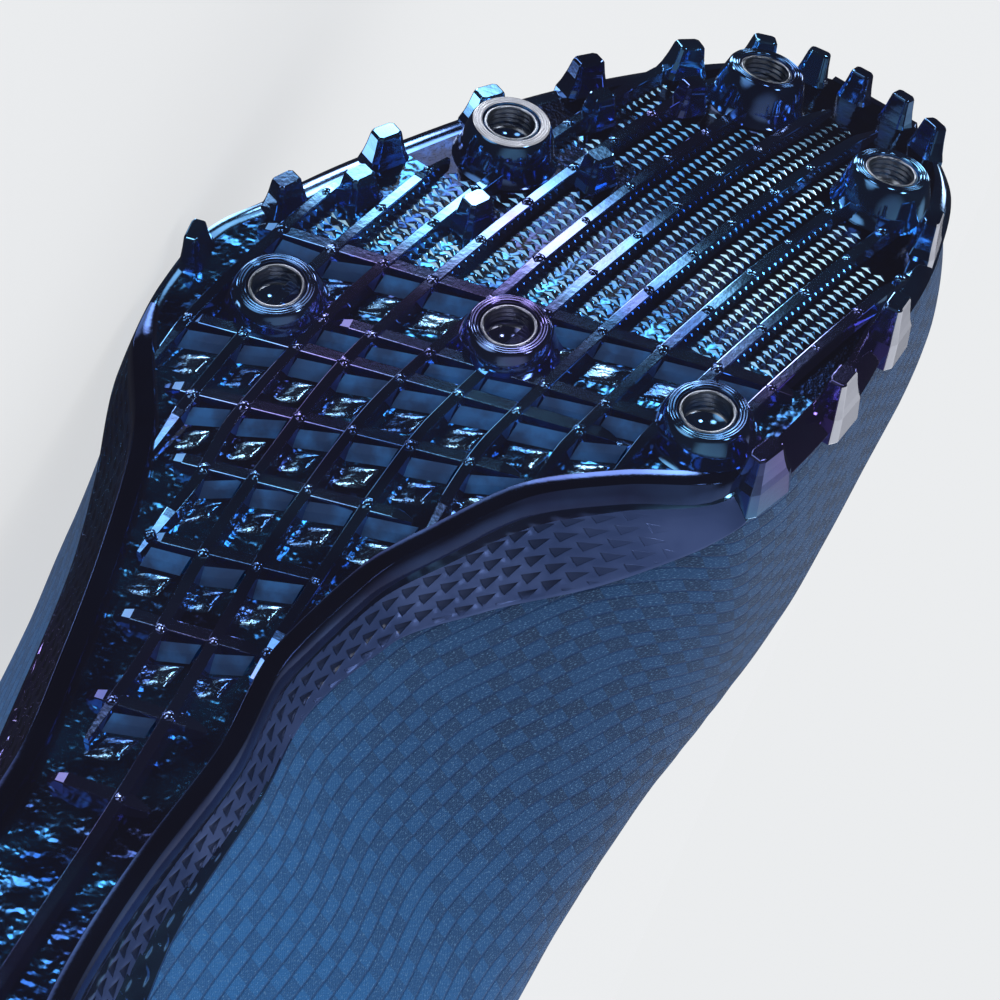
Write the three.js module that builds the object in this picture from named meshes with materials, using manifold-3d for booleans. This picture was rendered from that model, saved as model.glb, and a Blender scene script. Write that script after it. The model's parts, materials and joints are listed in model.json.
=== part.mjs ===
// Track spike shoe for the right foot, lying on its outer side.
// Shoe axes: X runs from heel to toe, Y to the inner side of the foot, Z up from the sole.
// The ribs of the forefoot run along X, and Y is 0 on the rib line between the sockets.

import * as THREE from "three";
import { mergeVertices } from "three/addons/utils/BufferGeometryUtils.js";
import Module from "manifold-3d";

const wasm = await Module();
wasm.setup();

// Size of the last, in millimetres
const shoeLength = 285;
const ballWidth = 92;
const instepHeight = 72;
const heelHeight = 66;
const archRise = 9;
const toeSpring = 16;

// Walls and clearances
const plateThickness = 1.6;
const upperWall = 1.5;
const eyestayThickness = 0.9;
const tongueThickness = 2.2;
const insoleThickness = 2.6;
const pieceGap = 0.3;
const lastingMargin = 7;

// Ribs, ridges and teeth of the plate
const ribWidth = 2.4;
const ribTipWidth = 1.5;
const ribHeight = 2;
const crossRibShare = 0.8;
const rootDepth = 0.8;
const ridgeWidth = 4.2;
const ridgeTipWidth = 2.6;
const ridgeHeight = 2.6;
const ridgeOutset = 0.64;
const innerRidgeEnd = 0.7;
const outerRidgeEnd = 0.6;
const flangeHeight = 15;
const plateLip = 0.9;
const toothHeight = 5.2;
const toothTipShare = 0.56;
const studHeight = 5;

// Spike sockets
const seatRadius = 5.6;
const bossRootRadius = 7.8;
const bossEdge = 0.6;
const rearBossHeight = 5;
const frontBossHeight = 6.4;
const insertRadius = 3.95;
const insertBore = 3.4;
const insertLength = 4.8;
const insertFloor = 0.9;
const insertRecess = 0.3;

// Throat and laces
const throatStart = 0.34;
const throatEnd = 0.575;
const throatTopWidth = 24;
const throatToeWidth = 15;
const throatRound = 0.8;
const throatOvercut = 0.06;
const throatCutFloor = 39.6;
const aboveInstep = 144;
const eyestayWidth = 11;
const eyestayBack = 0.03;
const eyestayInset = 0.4;
const eyestayRise = 0.8;
const firstEyelet = 0.018;
const lastEyelet = 0.012;
const eyeletInset = 5.2;
const eyeletRadius = 2;
const eyeletTilt = 0.5;
const eyeletCutLength = 7;
const eyeletPairs = 5;
const laceWidth = 4.6;
const laceThickness = 1.2;
const tongueOverlap = 6.5;
const tongueRise = 18;

// Weight in grams for a cubic centimetre, used to find how the shoe lies
const density = { plate: 1.1, insert: 7.85, upper: 0.9, film: 1.1, soft: 0.3 };

function table(columns, rows) {
  const names = columns.split(" ");
  return rows.map((row) => Object.fromEntries(names.map((name, i) => [name, row[i]])));
}

// Sections of the last from heel to toe. Along the shoe as a share of its length, across as shares
// of ballWidth, heights over the plate as shares of instepHeight. flare is how far out the lower
// side starts: near 1 it bulges at once, near 0 it climbs first. full rounds the top.
const lastRows = table(
  "at arch spring footIn footOut wideIn wideOut wideUp top ridge flareIn flareOut full",
  [
    [0.0, 0.75, 0, 0.22, 0.09, 0.26, 0.05, 0.38, 0.57, 0.15, 0.75, 0.75, 2],
    [0.012, 0.5, 0, 0.28, 0.03, 0.36, -0.05, 0.42, 0.86, 0.15, 0.75, 0.75, 2],
    [0.036, 0.35, 0, 0.34, -0.01, 0.435, -0.13, 0.46, 1.1, 0.15, 0.7, 0.7, 2],
    [0.08, 0.3, 0, 0.375, -0.045, 0.49, -0.185, 0.49, 1.26, 0.15, 0.6, 0.6, 1.9],
    [0.14, 0.35, 0, 0.365, -0.075, 0.505, -0.22, 0.51, 1.34, 0.15, 0.5, 0.5, 1.8],
    [0.21, 0.6, 0, 0.25, -0.09, 0.49, -0.26, 0.52, 1.34, 0.14, 0.35, 0.45, 1.8],
    [0.29, 0.88, 0, 0.105, -0.12, 0.46, -0.325, 0.53, 1.24, 0.1, 0.25, 0.4, 1.8],
    [0.37, 1, 0, 0.04, -0.175, 0.44, -0.41, 0.54, 1.1, 0.055, 0.22, 0.4, 1.9],
    [0.43, 0.9, 0, 0.015, -0.25, 0.43, -0.48, 0.54, 1.05, 0.01, 0.22, 0.4, 2],
    [0.49, 0.68, 0, -0.03, -0.335, 0.415, -0.545, 0.55, 1, -0.03, 0.22, 0.4, 2],
    [0.54, 0.44, 0, -0.02, -0.42, 0.39, -0.6, 0.54, 0.92, -0.065, 0.25, 0.45, 2],
    [0.585, 0.24, 0, 0.025, -0.54, 0.375, -0.635, 0.525, 0.86, -0.09, 0.35, 0.55, 2],
    [0.62, 0.11, 0, 0.07, -0.585, 0.367, -0.65, 0.51, 0.81, -0.105, 0.5, 0.65, 2],
    [0.655, 0.03, 0, 0.165, -0.6, 0.365, -0.657, 0.495, 0.76, -0.12, 0.65, 0.75, 2],
    [0.69, 0, 0, 0.28, -0.57, 0.362, -0.64, 0.47, 0.715, -0.125, 0.8, 0.8, 2],
    [0.73, 0, 0.01, 0.305, -0.535, 0.353, -0.61, 0.44, 0.665, -0.13, 0.85, 0.85, 2],
    [0.78, 0, 0.07, 0.295, -0.49, 0.326, -0.555, 0.4, 0.61, -0.12, 0.85, 0.85, 2],
    [0.83, 0, 0.18, 0.26, -0.445, 0.293, -0.5, 0.355, 0.555, -0.11, 0.85, 0.85, 2],
    [0.88, 0, 0.34, 0.225, -0.39, 0.26, -0.445, 0.3, 0.5, -0.1, 0.85, 0.85, 2],
    [0.925, 0, 0.54, 0.17, -0.335, 0.217, -0.39, 0.24, 0.43, -0.09, 0.85, 0.85, 2.1],
    [0.96, 0, 0.73, 0.12, -0.29, 0.158, -0.337, 0.2, 0.36, -0.09, 0.8, 0.8, 2.2],
    [0.985, 0, 0.89, 0.055, -0.24, 0.087, -0.283, 0.165, 0.28, -0.09, 0.8, 0.8, 2.2],
    [1.0, 0, 1, -0.01, -0.165, 0.01, -0.195, 0.125, 0.18, -0.09, 0.8, 0.8, 2.2],
  ],
);

// Height of the side flange's top edge over the plate, as shares of flangeHeight
const flangeRows = table("at in out", [
  [0, 1.4, 1.4],
  [0.1, 1.35, 1.3],
  [0.29, 0.75, 0.95],
  [0.37, 0.5, 0.85],
  [0.43, 0.42, 0.8],
  [0.49, 0.41, 0.82],
  [0.54, 0.46, 0.84],
  [0.585, 0.55, 0.6],
  [0.62, 0.6, 0.1],
  [0.655, 0.5, 0.1],
  [0.69, 0.25, 0.1],
  [0.73, 0.1, 0.1],
  [1, 0.1, 0.1],
]);

// Line of the collar seen from the side, up as shares of heelHeight
const collarRows = table("at up", [
  [-0.05, 1.0],
  [0.03, 1.0],
  [0.09, 0.93],
  [0.17, 0.83],
  [0.24, 0.87],
  [0.3, 1.02],
  [0.34, 1.2],
]);

// Spike sockets, along as shares of shoeLength and across as shares of ballWidth
const socketRows = table("at across height", [
  [0.638, -0.43, rearBossHeight],
  [0.797, -0.379, frontBossHeight],
  [0.94, -0.198, frontBossHeight],
  [0.916, 0.095, frontBossHeight],
  [0.708, 0.203, rearBossHeight],
  [0.689, -0.118, rearBossHeight],
]);

// Teeth on the edge of the plate: place, turn of the long side in degrees, length and width of the root
const toothRows = table("at across turn long wide", [
  [0.639, -0.592, -20, 7, 3.6],
  [0.692, -0.555, 14, 6.4, 4.6],
  [0.751, -0.51, 18, 6.8, 4.8],
  [0.812, -0.457, 20, 7, 4.8],
  [0.873, -0.402, 22, 7.4, 4.8],
  [0.93, -0.327, 30, 7.2, 4.8],
  [0.973, -0.265, 50, 6, 4.4],
  [0.99, -0.19, 76, 5.6, 4],
  [0.996, -0.112, 88, 5.2, 4],
  [0.996, -0.03, 94, 5.2, 4],
  [0.984, 0.052, 112, 6, 4],
  [0.905, 0.2, -20, 8, 4.4],
  [0.833, 0.278, -10, 7.4, 4.6],
  [0.77, 0.31, -6, 7.6, 4.6],
  [0.706, 0.312, 6, 8.4, 4.6],
]);

// Studs inside the edge
const studRows = table("at across turn long wide", [
  [0.72, -0.483, 14, 6.6, 5],
  [0.745, -0.317, 14, 6.6, 5],
  [0.815, -0.245, 14, 6.6, 5],
  [0.855, -0.334, 14, 6, 4.6],
  [0.903, -0.259, 20, 6, 4.6],
]);

// Lengthwise ribs from toe end to waist end, across as shares of ballWidth
const ribRows = [
  [[0.735, -0.514], [0.64, -0.514], [0.572, -0.504]],
  [[0.775, -0.43], [0.63, -0.428], [0.568, -0.412], [0.535, -0.4]],
  [[0.94, -0.335], [0.86, -0.342], [0.66, -0.352], [0.572, -0.338], [0.53, -0.308], [0.49, -0.3]],
  [[0.945, -0.268], [0.64, -0.276], [0.56, -0.25], [0.52, -0.23], [0.44, -0.17], [0.4, -0.15]],
  [
    [0.95, -0.185],
    [0.7, -0.185],
    [0.63, -0.192],
    [0.55, -0.166],
    [0.466, -0.108],
    [0.35, -0.02],
    [0.2, 0.09],
    [0.06, 0.15],
  ],
  [[0.97, -0.105], [0.63, -0.107], [0.58, -0.091], [0.52, -0.06], [0.47, -0.036]],
  [[0.975, -0.022], [0.64, -0.022], [0.572, 0.01]],
  [[0.965, 0.065], [0.66, 0.07], [0.628, 0.075]],
  [[0.935, 0.15], [0.7, 0.151], [0.657, 0.152]],
  [[0.875, 0.233], [0.69, 0.233]],
];

// Cross ribs of the lattice: place at the socket line, and the outer and inner ends across
const crossRows = table("at outer inner lean", [
  [0.728, -0.55, 0.27, 0.33],
  [0.682, -0.34, 0.2, 0.335],
  [0.6615, -0.52, 0.12, 0.35],
  [0.6235, -0.46, 0.05, 0.38],
  [0.5815, -0.375, -0.02, 0.37],
  [0.536, -0.31, -0.04, 0.38],
  [0.488, -0.26, -0.05, 0.35],
  [0.44, -0.2, -0.03, 0.33],
  [0.39, -0.15, 0, 0.31],
]);

const lowerSteps = 4;
const upperSteps = 5;
const bossSegments = 12;
const insertSegments = 12;

// Straight lines between the rows of a table
function readRow(rows, at) {
  let i = 0;
  while (i < rows.length - 2 && rows[i + 1].at < at) i += 1;
  const [low, high] = [rows[i], rows[i + 1]];
  const share = THREE.MathUtils.clamp((at - low.at) / (high.at - low.at), 0, 1);
  return Object.fromEntries(Object.keys(low).map((key) => [key, low[key] + (high[key] - low[key]) * share]));
}

function soleHeight(at) {
  const row = readRow(lastRows, at);
  return row.arch * archRise + row.spring * toeSpring;
}

function soleSlope(at) {
  const step = 0.02;
  return Math.atan2(soleHeight(at + step) - soleHeight(at - step), 2 * step * shoeLength);
}

function bezier(t, a, b, c, d) {
  const s = 1 - t;
  return s * s * s * a + 3 * s * s * t * b + 3 * s * t * t * c + t * t * t * d;
}

// One side of a section, from the edge of the sole up to its widest point
function lowerSide(foot, wide, low, high, flare) {
  const points = [];
  for (let i = 0; i <= lowerSteps; i += 1) {
    const t = i / lowerSteps;
    const y = bezier(t, foot, foot + flare * (wide - foot), wide, wide);
    const z = bezier(t, low, low + (1 - flare) * 0.6 * (high - low), high - 0.35 * (high - low), high);
    points.push([y, z]);
  }
  return points;
}

function upperSide(wide, ridge, high, top, full) {
  const points = [];
  for (let i = 1; i <= upperSteps; i += 1) {
    const angle = (i / upperSteps) * (Math.PI / 2);
    const y = ridge + (wide - ridge) * Math.cos(angle) ** (2 / full);
    points.push([i < upperSteps ? y : ridge, high + (top - high) * Math.sin(angle) ** (2 / full)]);
  }
  return points;
}

// Section of the last, anticlockwise as seen from the toe
function lastSection(row) {
  const bed = row.arch * archRise + row.spring * toeSpring + plateThickness + pieceGap;
  const high = bed + row.wideUp * instepHeight;
  const top = bed + row.top * instepHeight;
  const [footIn, footOut] = [row.footIn * ballWidth, row.footOut * ballWidth];
  const [wideIn, wideOut] = [row.wideIn * ballWidth, row.wideOut * ballWidth];
  const ridge = row.ridge * ballWidth;
  const side = (foot, wide, flare) => [
    ...lowerSide(foot, wide, bed, high, flare),
    ...upperSide(wide, ridge, high, top, row.full),
  ];
  const inner = side(footIn, wideIn, row.flareIn);
  const outer = side(footOut, wideOut, row.flareOut);
  outer.pop();
  return [...inner, ...outer.reverse()].map(([y, z]) => new THREE.Vector3(row.at * shoeLength, y, z));
}

// Moves a lofted grid outwards, so that the walls beside each point move by the distance
function offsetRings(rings, distance) {
  const count = rings[0].length;
  const faceNormal = (i, j) => {
    const k = (j + 1) % count;
    const across = rings[i + 1][k].clone().sub(rings[i][j]);
    const along = rings[i][k].clone().sub(rings[i + 1][j]);
    return along.cross(across).normalize();
  };
  return rings.map((ring, i) =>
    ring.map((point, j) => {
      const before = (j + count - 1) % count;
      const normals = [];
      for (const row of [i - 1, i]) {
        if (row < 0) normals.push(new THREE.Vector3(-1, 0, 0));
        else if (row > rings.length - 2) normals.push(new THREE.Vector3(1, 0, 0));
        else normals.push(faceNormal(row, before), faceNormal(row, j));
      }
      return point.clone().add(cornerShift(normals, distance));
    }),
  );
}

// The shift whose part along each of the normals is the distance
function cornerShift(normals, distance) {
  const softness = 0.04;
  const matrix = new THREE.Matrix3().set(softness, 0, 0, 0, softness, 0, 0, 0, softness);
  const sum = new THREE.Vector3();
  for (const n of normals) {
    const e = [n.x, n.y, n.z];
    for (let r = 0; r < 3; r += 1) {
      for (let c = 0; c < 3; c += 1) matrix.elements[c * 3 + r] += e[r] * e[c];
    }
    sum.add(n);
  }
  return sum.applyMatrix3(matrix.invert()).multiplyScalar(distance * (1 + softness / normals.length));
}

function toSolid(geometry) {
  const bare = geometry.clone();
  bare.deleteAttribute("normal");
  bare.deleteAttribute("uv");
  const merged = mergeVertices(bare, 1e-4);
  const corners = [];
  const index = merged.index.array;
  for (let i = 0; i < index.length; i += 3) {
    const [a, b, c] = [index[i], index[i + 1], index[i + 2]];
    if (a !== b && b !== c && c !== a) corners.push(a, b, c);
  }
  const mesh = new wasm.Mesh({
    numProp: 3,
    vertProperties: new Float32Array(merged.attributes.position.array),
    triVerts: new Uint32Array(corners),
  });
  return new wasm.Manifold(mesh);
}

function toGeometry(solid) {
  const mesh = solid.getMesh();
  const geometry = new THREE.BufferGeometry();
  geometry.setAttribute("position", new THREE.BufferAttribute(new Float32Array(mesh.vertProperties), 3));
  geometry.setIndex(new THREE.BufferAttribute(new Uint32Array(mesh.triVerts), 1));
  geometry.computeVertexNormals();
  return geometry;
}

// Closed body through rings of equal length, each anticlockwise as seen from the next one
function loft(rings) {
  const count = rings[0].length;
  const points = rings.flat();
  const index = [];
  for (let i = 0; i < rings.length - 1; i += 1) {
    for (let j = 0; j < count; j += 1) {
      const k = (j + 1) % count;
      const [a, b] = [i * count + j, i * count + k];
      index.push(a, b, a + count, b, b + count, a + count);
    }
  }
  for (const end of [0, rings.length - 1]) {
    const middle = new THREE.Vector3();
    rings[end].forEach((point) => middle.addScaledVector(point, 1 / count));
    points.push(middle);
    for (let j = 0; j < count; j += 1) {
      const [a, b] = [end * count + j, end * count + ((j + 1) % count)];
      index.push(points.length - 1, end ? a : b, end ? b : a);
    }
  }
  const geometry = new THREE.BufferGeometry().setFromPoints(points);
  geometry.setIndex(index);
  return toSolid(geometry);
}

function joinAll(solids) {
  return solids.reduce((sum, solid) => sum.add(solid));
}

const lastRings = lastRows.map(lastSection);

function lastSolid(offset) {
  return loft(offset === 0 ? lastRings : offsetRings(lastRings, offset));
}

// Block between two heights for each row of x, low and high, and between two sides
function slab(rows) {
  return loft(
    rows.map(({ x, right, left, low, highRight, highLeft }) => [
      new THREE.Vector3(x, right, low),
      new THREE.Vector3(x, right, highRight),
      new THREE.Vector3(x, left, highLeft),
      new THREE.Vector3(x, left, low),
    ]),
  );
}

// Upright body over a plan outline
function column(outline, low, high) {
  const shape = new THREE.Shape(outline.map(([x, y]) => new THREE.Vector2(x, y)));
  const geometry = new THREE.ExtrudeGeometry(shape, { depth: high - low, bevelEnabled: false, curveSegments: 6 });
  geometry.translate(0, 0, low);
  return toSolid(geometry);
}

// Bar under the sole along plan points, wider at the root than at the tip
function soleBar(path, width, tipWidth, height) {
  const rings = path.map(([x, y], i) => {
    const before = path[Math.max(i - 1, 0)];
    const after = path[Math.min(i + 1, path.length - 1)];
    const side = new THREE.Vector2(-(after[1] - before[1]), after[0] - before[0]).normalize();
    const sole = soleHeight(x / shoeLength);
    const corner = (reach, z) => new THREE.Vector3(x + side.x * reach, y + side.y * reach, z);
    return [
      corner(tipWidth / 2, sole - height),
      corner(width / 2, sole + rootDepth),
      corner(-width / 2, sole + rootDepth),
      corner(-tipWidth / 2, sole - height),
    ];
  });
  return loft(rings);
}

// Adds points where the sole bends, so that a bar follows it
function followSole(path) {
  const full = [path[0]];
  for (let i = 1; i < path.length; i += 1) {
    const [x0, y0] = path[i - 1];
    const [x1, y1] = path[i];
    const bends = lastRows.map((row) => row.at * shoeLength);
    const inside = bends.filter((x) => (x - x0) * (x - x1) < -4).sort((a, b) => (x1 > x0 ? a - b : b - a));
    inside.forEach((x) => full.push([x, y0 + ((y1 - y0) * (x - x0)) / (x1 - x0)]));
    full.push(path[i]);
  }
  return full;
}

function lengthRib(row) {
  const path = row.map(([at, across]) => [at * shoeLength, across * ballWidth]);
  return soleBar(followSole(path), ribWidth, ribTipWidth, ribHeight);
}

function crossRib(row) {
  const point = (across) => [row.at * shoeLength + row.lean * across * ballWidth, across * ballWidth];
  const path = [point(row.outer), point((row.outer + row.inner) / 2), point(row.inner)];
  return soleBar(path, ribWidth * crossRibShare, ribTipWidth * crossRibShare, ribHeight * crossRibShare);
}

// Ridge along the edge of the waist, from the inner side round the heel to the outer side
function edgeRidge() {
  const inner = lastRows.filter((row) => row.at < innerRidgeEnd).reverse();
  const outer = lastRows.filter((row) => row.at < outerRidgeEnd);
  const path = [
    ...inner.map((row) => [row.at * shoeLength, row.footIn * ballWidth + ridgeOutset]),
    ...outer.map((row) => [row.at * shoeLength, row.footOut * ballWidth - ridgeOutset]),
  ];
  return soleBar(path, ridgeWidth, ridgeTipWidth, ridgeHeight);
}

// Pyramid with a flat tip, standing down from the sole
function stud(row, height) {
  const [x, y] = [row.at * shoeLength, row.across * ballWidth];
  const sole = soleHeight(row.at);
  const turn = THREE.MathUtils.degToRad(row.turn);
  const ring = (share, z) =>
    [[1, 1], [-1, 1], [-1, -1], [1, -1]].map(([u, v]) => {
      const [along, across] = [(u * share * row.long) / 2, (v * share * row.wide) / 2];
      const [c, s] = [Math.cos(turn), Math.sin(turn)];
      return new THREE.Vector3(x + along * c - across * s, y + along * s + across * c, z);
    });
  return loft([ring(toothTipShare, sole - height), ring(1, sole + rootDepth)]);
}

// Turned body whose axis stands square to the sole at a socket, from a profile of radius and height
function turned(row, profile, segments) {
  const outline = profile.map(([radius, z]) => new THREE.Vector2(radius, z));
  const geometry = new THREE.LatheGeometry(outline, segments);
  geometry.rotateX(Math.PI / 2);
  geometry.rotateY(-soleSlope(row.at));
  geometry.translate(row.at * shoeLength, row.across * ballWidth, soleHeight(row.at));
  return toSolid(geometry);
}

function boss(row) {
  const seat = -row.height;
  const profile = [
    [0, seat],
    [seatRadius - bossEdge, seat],
    [seatRadius, seat + bossEdge],
    [bossRootRadius, 0],
    [bossRootRadius, rootDepth],
    [0, rootDepth],
  ];
  return turned(row, profile, bossSegments);
}

function bossBore(row) {
  const radius = insertRadius + pieceGap;
  const seat = -row.height;
  const depth = seat + insertRecess + insertLength + pieceGap;
  return turned(row, [[0, seat - 1], [radius, seat - 1], [radius, depth], [0, depth]], insertSegments);
}

function insertSolid(row) {
  const mouth = -row.height + insertRecess;
  const end = mouth + insertLength;
  const floor = end - insertFloor;
  const profile = [
    [0, floor],
    [insertBore, floor],
    [insertBore, mouth],
    [insertRadius, mouth],
    [insertRadius, end],
    [0, end],
  ];
  return turned(row, profile, insertSegments);
}

// Everything below the top edge of the flange
function belowFlange() {
  const reach = ballWidth;
  const rows = [-0.05, ...new Set([...lastRows, ...flangeRows].map((row) => row.at)), 1.05].sort((a, b) => a - b);
  return slab(
    rows.map((at) => {
      const flange = readRow(flangeRows, at);
      const sole = soleHeight(at) + plateThickness;
      return {
        x: at * shoeLength,
        right: reach,
        left: -reach,
        low: -2 * flangeHeight,
        highRight: sole + Math.max(flange.in * flangeHeight, plateLip),
        highLeft: sole + Math.max(flange.out * flangeHeight, plateLip),
      };
    }),
  );
}

function spikePlate() {
  const shell = lastSolid(pieceGap + plateThickness).subtract(lastSolid(pieceGap)).intersect(belowFlange());
  const added = [
    edgeRidge(),
    ...ribRows.map(lengthRib),
    ...crossRows.map(crossRib),
    ...toothRows.map((row) => stud(row, toothHeight)),
    ...studRows.map((row) => stud(row, studHeight)),
    ...socketRows.map(boss),
  ];
  const inside = lastSolid(pieceGap);
  return joinAll([shell, ...added]).subtract(inside).subtract(joinAll(socketRows.map(bossBore)));
}

function halfThroat(at) {
  const share = (at - throatStart) / (throatEnd - throatStart);
  return THREE.MathUtils.lerp(throatTopWidth, throatToeWidth, share) / 2;
}

// Plan outline round the throat, grown by a margin and reaching back to a given place
function throatOutline(margin, back) {
  const steps = 5;
  const sides = { in: [], out: [] };
  for (let i = 0; i <= steps; i += 1) {
    const at = back + ((throatEnd - back) * i) / steps;
    const middle = readRow(lastRows, at).ridge * ballWidth;
    const half = halfThroat(at) + margin;
    sides.in.push([at * shoeLength, middle + half]);
    sides.out.push([at * shoeLength, middle - half]);
  }
  const [x, y] = sides.in.at(-1);
  const half = halfThroat(throatEnd) + margin;
  const round = [60, 30, 0, -30, -60].map((degrees) => {
    const angle = THREE.MathUtils.degToRad(degrees);
    return [x + half * throatRound * Math.cos(angle), y - half + half * Math.sin(angle)];
  });
  return [...sides.out, ...round.reverse(), ...sides.in.reverse()];
}

function throatCut(margin) {
  return column(throatOutline(margin, throatStart - throatOvercut), throatCutFloor, aboveInstep);
}

// Everything above the collar line
function aboveCollar(drop) {
  const reach = ballWidth;
  const line = collarRows.map((row) => [row.at * shoeLength, row.up * heelHeight - drop]);
  line.push([throatStart * shoeLength + 2, aboveInstep]);
  const shape = new THREE.Shape([...line, [line[0][0], aboveInstep]].map(([x, z]) => new THREE.Vector2(x, z)));
  const geometry = new THREE.ExtrudeGeometry(shape, { depth: 2 * reach, bevelEnabled: false });
  geometry.rotateX(Math.PI / 2);
  geometry.translate(0, reach, 0);
  return toSolid(geometry);
}

// Opening under the foot, inside the turned-in margin of the upper
function underOpening() {
  const rows = lastRows.filter((row) => row.at > 0.05 && row.at < 0.96);
  return slab(
    rows.map((row) => {
      const width = (row.footIn - row.footOut) * ballWidth;
      const margin = Math.min(lastingMargin, width * 0.3);
      const sole = row.arch * archRise + row.spring * toeSpring;
      const top = sole + plateThickness + upperWall + 1;
      return {
        x: row.at * shoeLength,
        right: row.footIn * ballWidth - margin,
        left: row.footOut * ballWidth + margin,
        low: sole - 1,
        highRight: top,
        highLeft: top,
      };
    }),
  );
}

// Height of the last's outside over a plan point on the instep
function instepSurface(at, y) {
  const row = readRow(lastRows, at);
  const bed = row.arch * archRise + row.spring * toeSpring + plateThickness + pieceGap;
  const ridge = row.ridge * ballWidth;
  const wide = (y > ridge ? row.wideIn : row.wideOut) * ballWidth;
  const share = Math.min(Math.abs((y - ridge) / (wide - ridge)), 1);
  return bed + (row.wideUp + (row.top - row.wideUp) * (1 - share ** row.full) ** (1 / row.full)) * instepHeight;
}

function eyeletPlace(pair, side) {
  const share = pair / (eyeletPairs - 1);
  const at = THREE.MathUtils.lerp(throatStart + firstEyelet, throatEnd - lastEyelet, share);
  const middle = readRow(lastRows, at).ridge * ballWidth;
  return { at, x: at * shoeLength, y: middle + side * (halfThroat(at) + eyeletInset) };
}

function eyeletHoles() {
  const holes = [];
  for (let pair = 0; pair < eyeletPairs; pair += 1) {
    for (const side of [-1, 1]) {
      const { at, x, y } = eyeletPlace(pair, side);
      const geometry = new THREE.CylinderGeometry(eyeletRadius, eyeletRadius, eyeletCutLength, 6);
      geometry.rotateX(Math.PI / 2 - side * eyeletTilt);
      geometry.translate(x, y, instepSurface(at, y));
      holes.push(toSolid(geometry));
    }
  }
  return joinAll(holes);
}

function upperBody() {
  const shell = lastSolid(0).subtract(lastSolid(-upperWall));
  return shell
    .subtract(underOpening())
    .subtract(aboveCollar(0))
    .subtract(throatCut(0))
    .subtract(eyeletHoles());
}

function eyestay() {
  const band = lastSolid(pieceGap + eyestayThickness).subtract(lastSolid(pieceGap));
  const around = column(throatOutline(eyestayWidth, throatStart - eyestayBack), throatCutFloor, aboveInstep);
  return band
    .intersect(around)
    .subtract(throatCut(eyestayInset))
    .subtract(aboveCollar(-eyestayRise))
    .subtract(eyeletHoles());
}

function tongue() {
  const outside = -(upperWall + pieceGap);
  const band = lastSolid(outside).subtract(lastSolid(outside - tongueThickness));
  const back = throatStart - tongueRise / shoeLength;
  return band.intersect(column(throatOutline(tongueOverlap, back), throatCutFloor, aboveInstep));
}

function insole() {
  const rows = [-0.01, ...lastRows.map((row) => row.at), 1.01];
  const below = slab(
    rows.map((at) => {
      const top = soleHeight(at) + plateThickness + upperWall + 2 * pieceGap + insoleThickness;
      const sides = { right: ballWidth, left: -ballWidth, highRight: top, highLeft: top };
      return { x: at * shoeLength, low: -ballWidth, ...sides };
    }),
  );
  return lastSolid(-(upperWall + pieceGap)).intersect(below);
}

// Flat lace from one eyelet to another, following the instep
function laceBar(from, to) {
  const steps = 4;
  const lift = pieceGap * 3 + eyestayThickness + laceThickness;
  const rings = [];
  for (let i = 0; i <= steps; i += 1) {
    const share = i / steps;
    const at = THREE.MathUtils.lerp(from.at, to.at, share);
    const y = THREE.MathUtils.lerp(from.y, to.y, share);
    const z = instepSurface(at, y) + lift;
    const along = new THREE.Vector2(to.x - from.x, to.y - from.y).normalize();
    const side = new THREE.Vector2(-along.y, along.x).multiplyScalar(laceWidth / 2);
    const corner = (sign, height) =>
      new THREE.Vector3(at * shoeLength + sign * side.x, y + sign * side.y, z + height);
    rings.push([corner(1, 0), corner(1, laceThickness), corner(-1, laceThickness), corner(-1, 0)]);
  }
  return loft(rings);
}

function laces() {
  const last = eyeletPairs - 1;
  const bars = [laceBar(eyeletPlace(last, -1), eyeletPlace(last, 1))];
  for (let pair = 0; pair < last; pair += 1) {
    for (const side of [-1, 1]) {
      bars.push(laceBar(eyeletPlace(pair, side), eyeletPlace(pair + 1, -side)));
    }
  }
  return joinAll(bars);
}

function piece(name, solid, colour, roughness, metalness, weight) {
  const material = new THREE.MeshStandardMaterial({ color: colour, roughness, metalness });
  const mesh = new THREE.Mesh(toGeometry(solid), material);
  mesh.name = name;
  mesh.userData.grams = (solid.volume() / 1000) * weight;
  return mesh;
}

function makePieces() {
  return [
    piece("spike_plate", spikePlate(), 0x12163a, 0.12, 0.9, density.plate),
    piece("upper", upperBody(), 0x2f6496, 0.85, 0, density.upper),
    piece("insole", insole(), 0x1c2440, 0.9, 0, density.soft),
    piece("tongue", tongue(), 0x2b5a88, 0.9, 0, density.soft),
    piece("eyestay", eyestay(), 0x1d2f5c, 0.6, 0, density.film),
    piece("laces", laces(), 0x24365f, 0.9, 0, density.soft),
    ...socketRows.map((row, i) =>
      piece(`spike_socket_${i + 1}`, insertSolid(row), 0x3a3f4a, 0.3, 0.95, density.insert),
    ),
  ];
}

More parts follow.
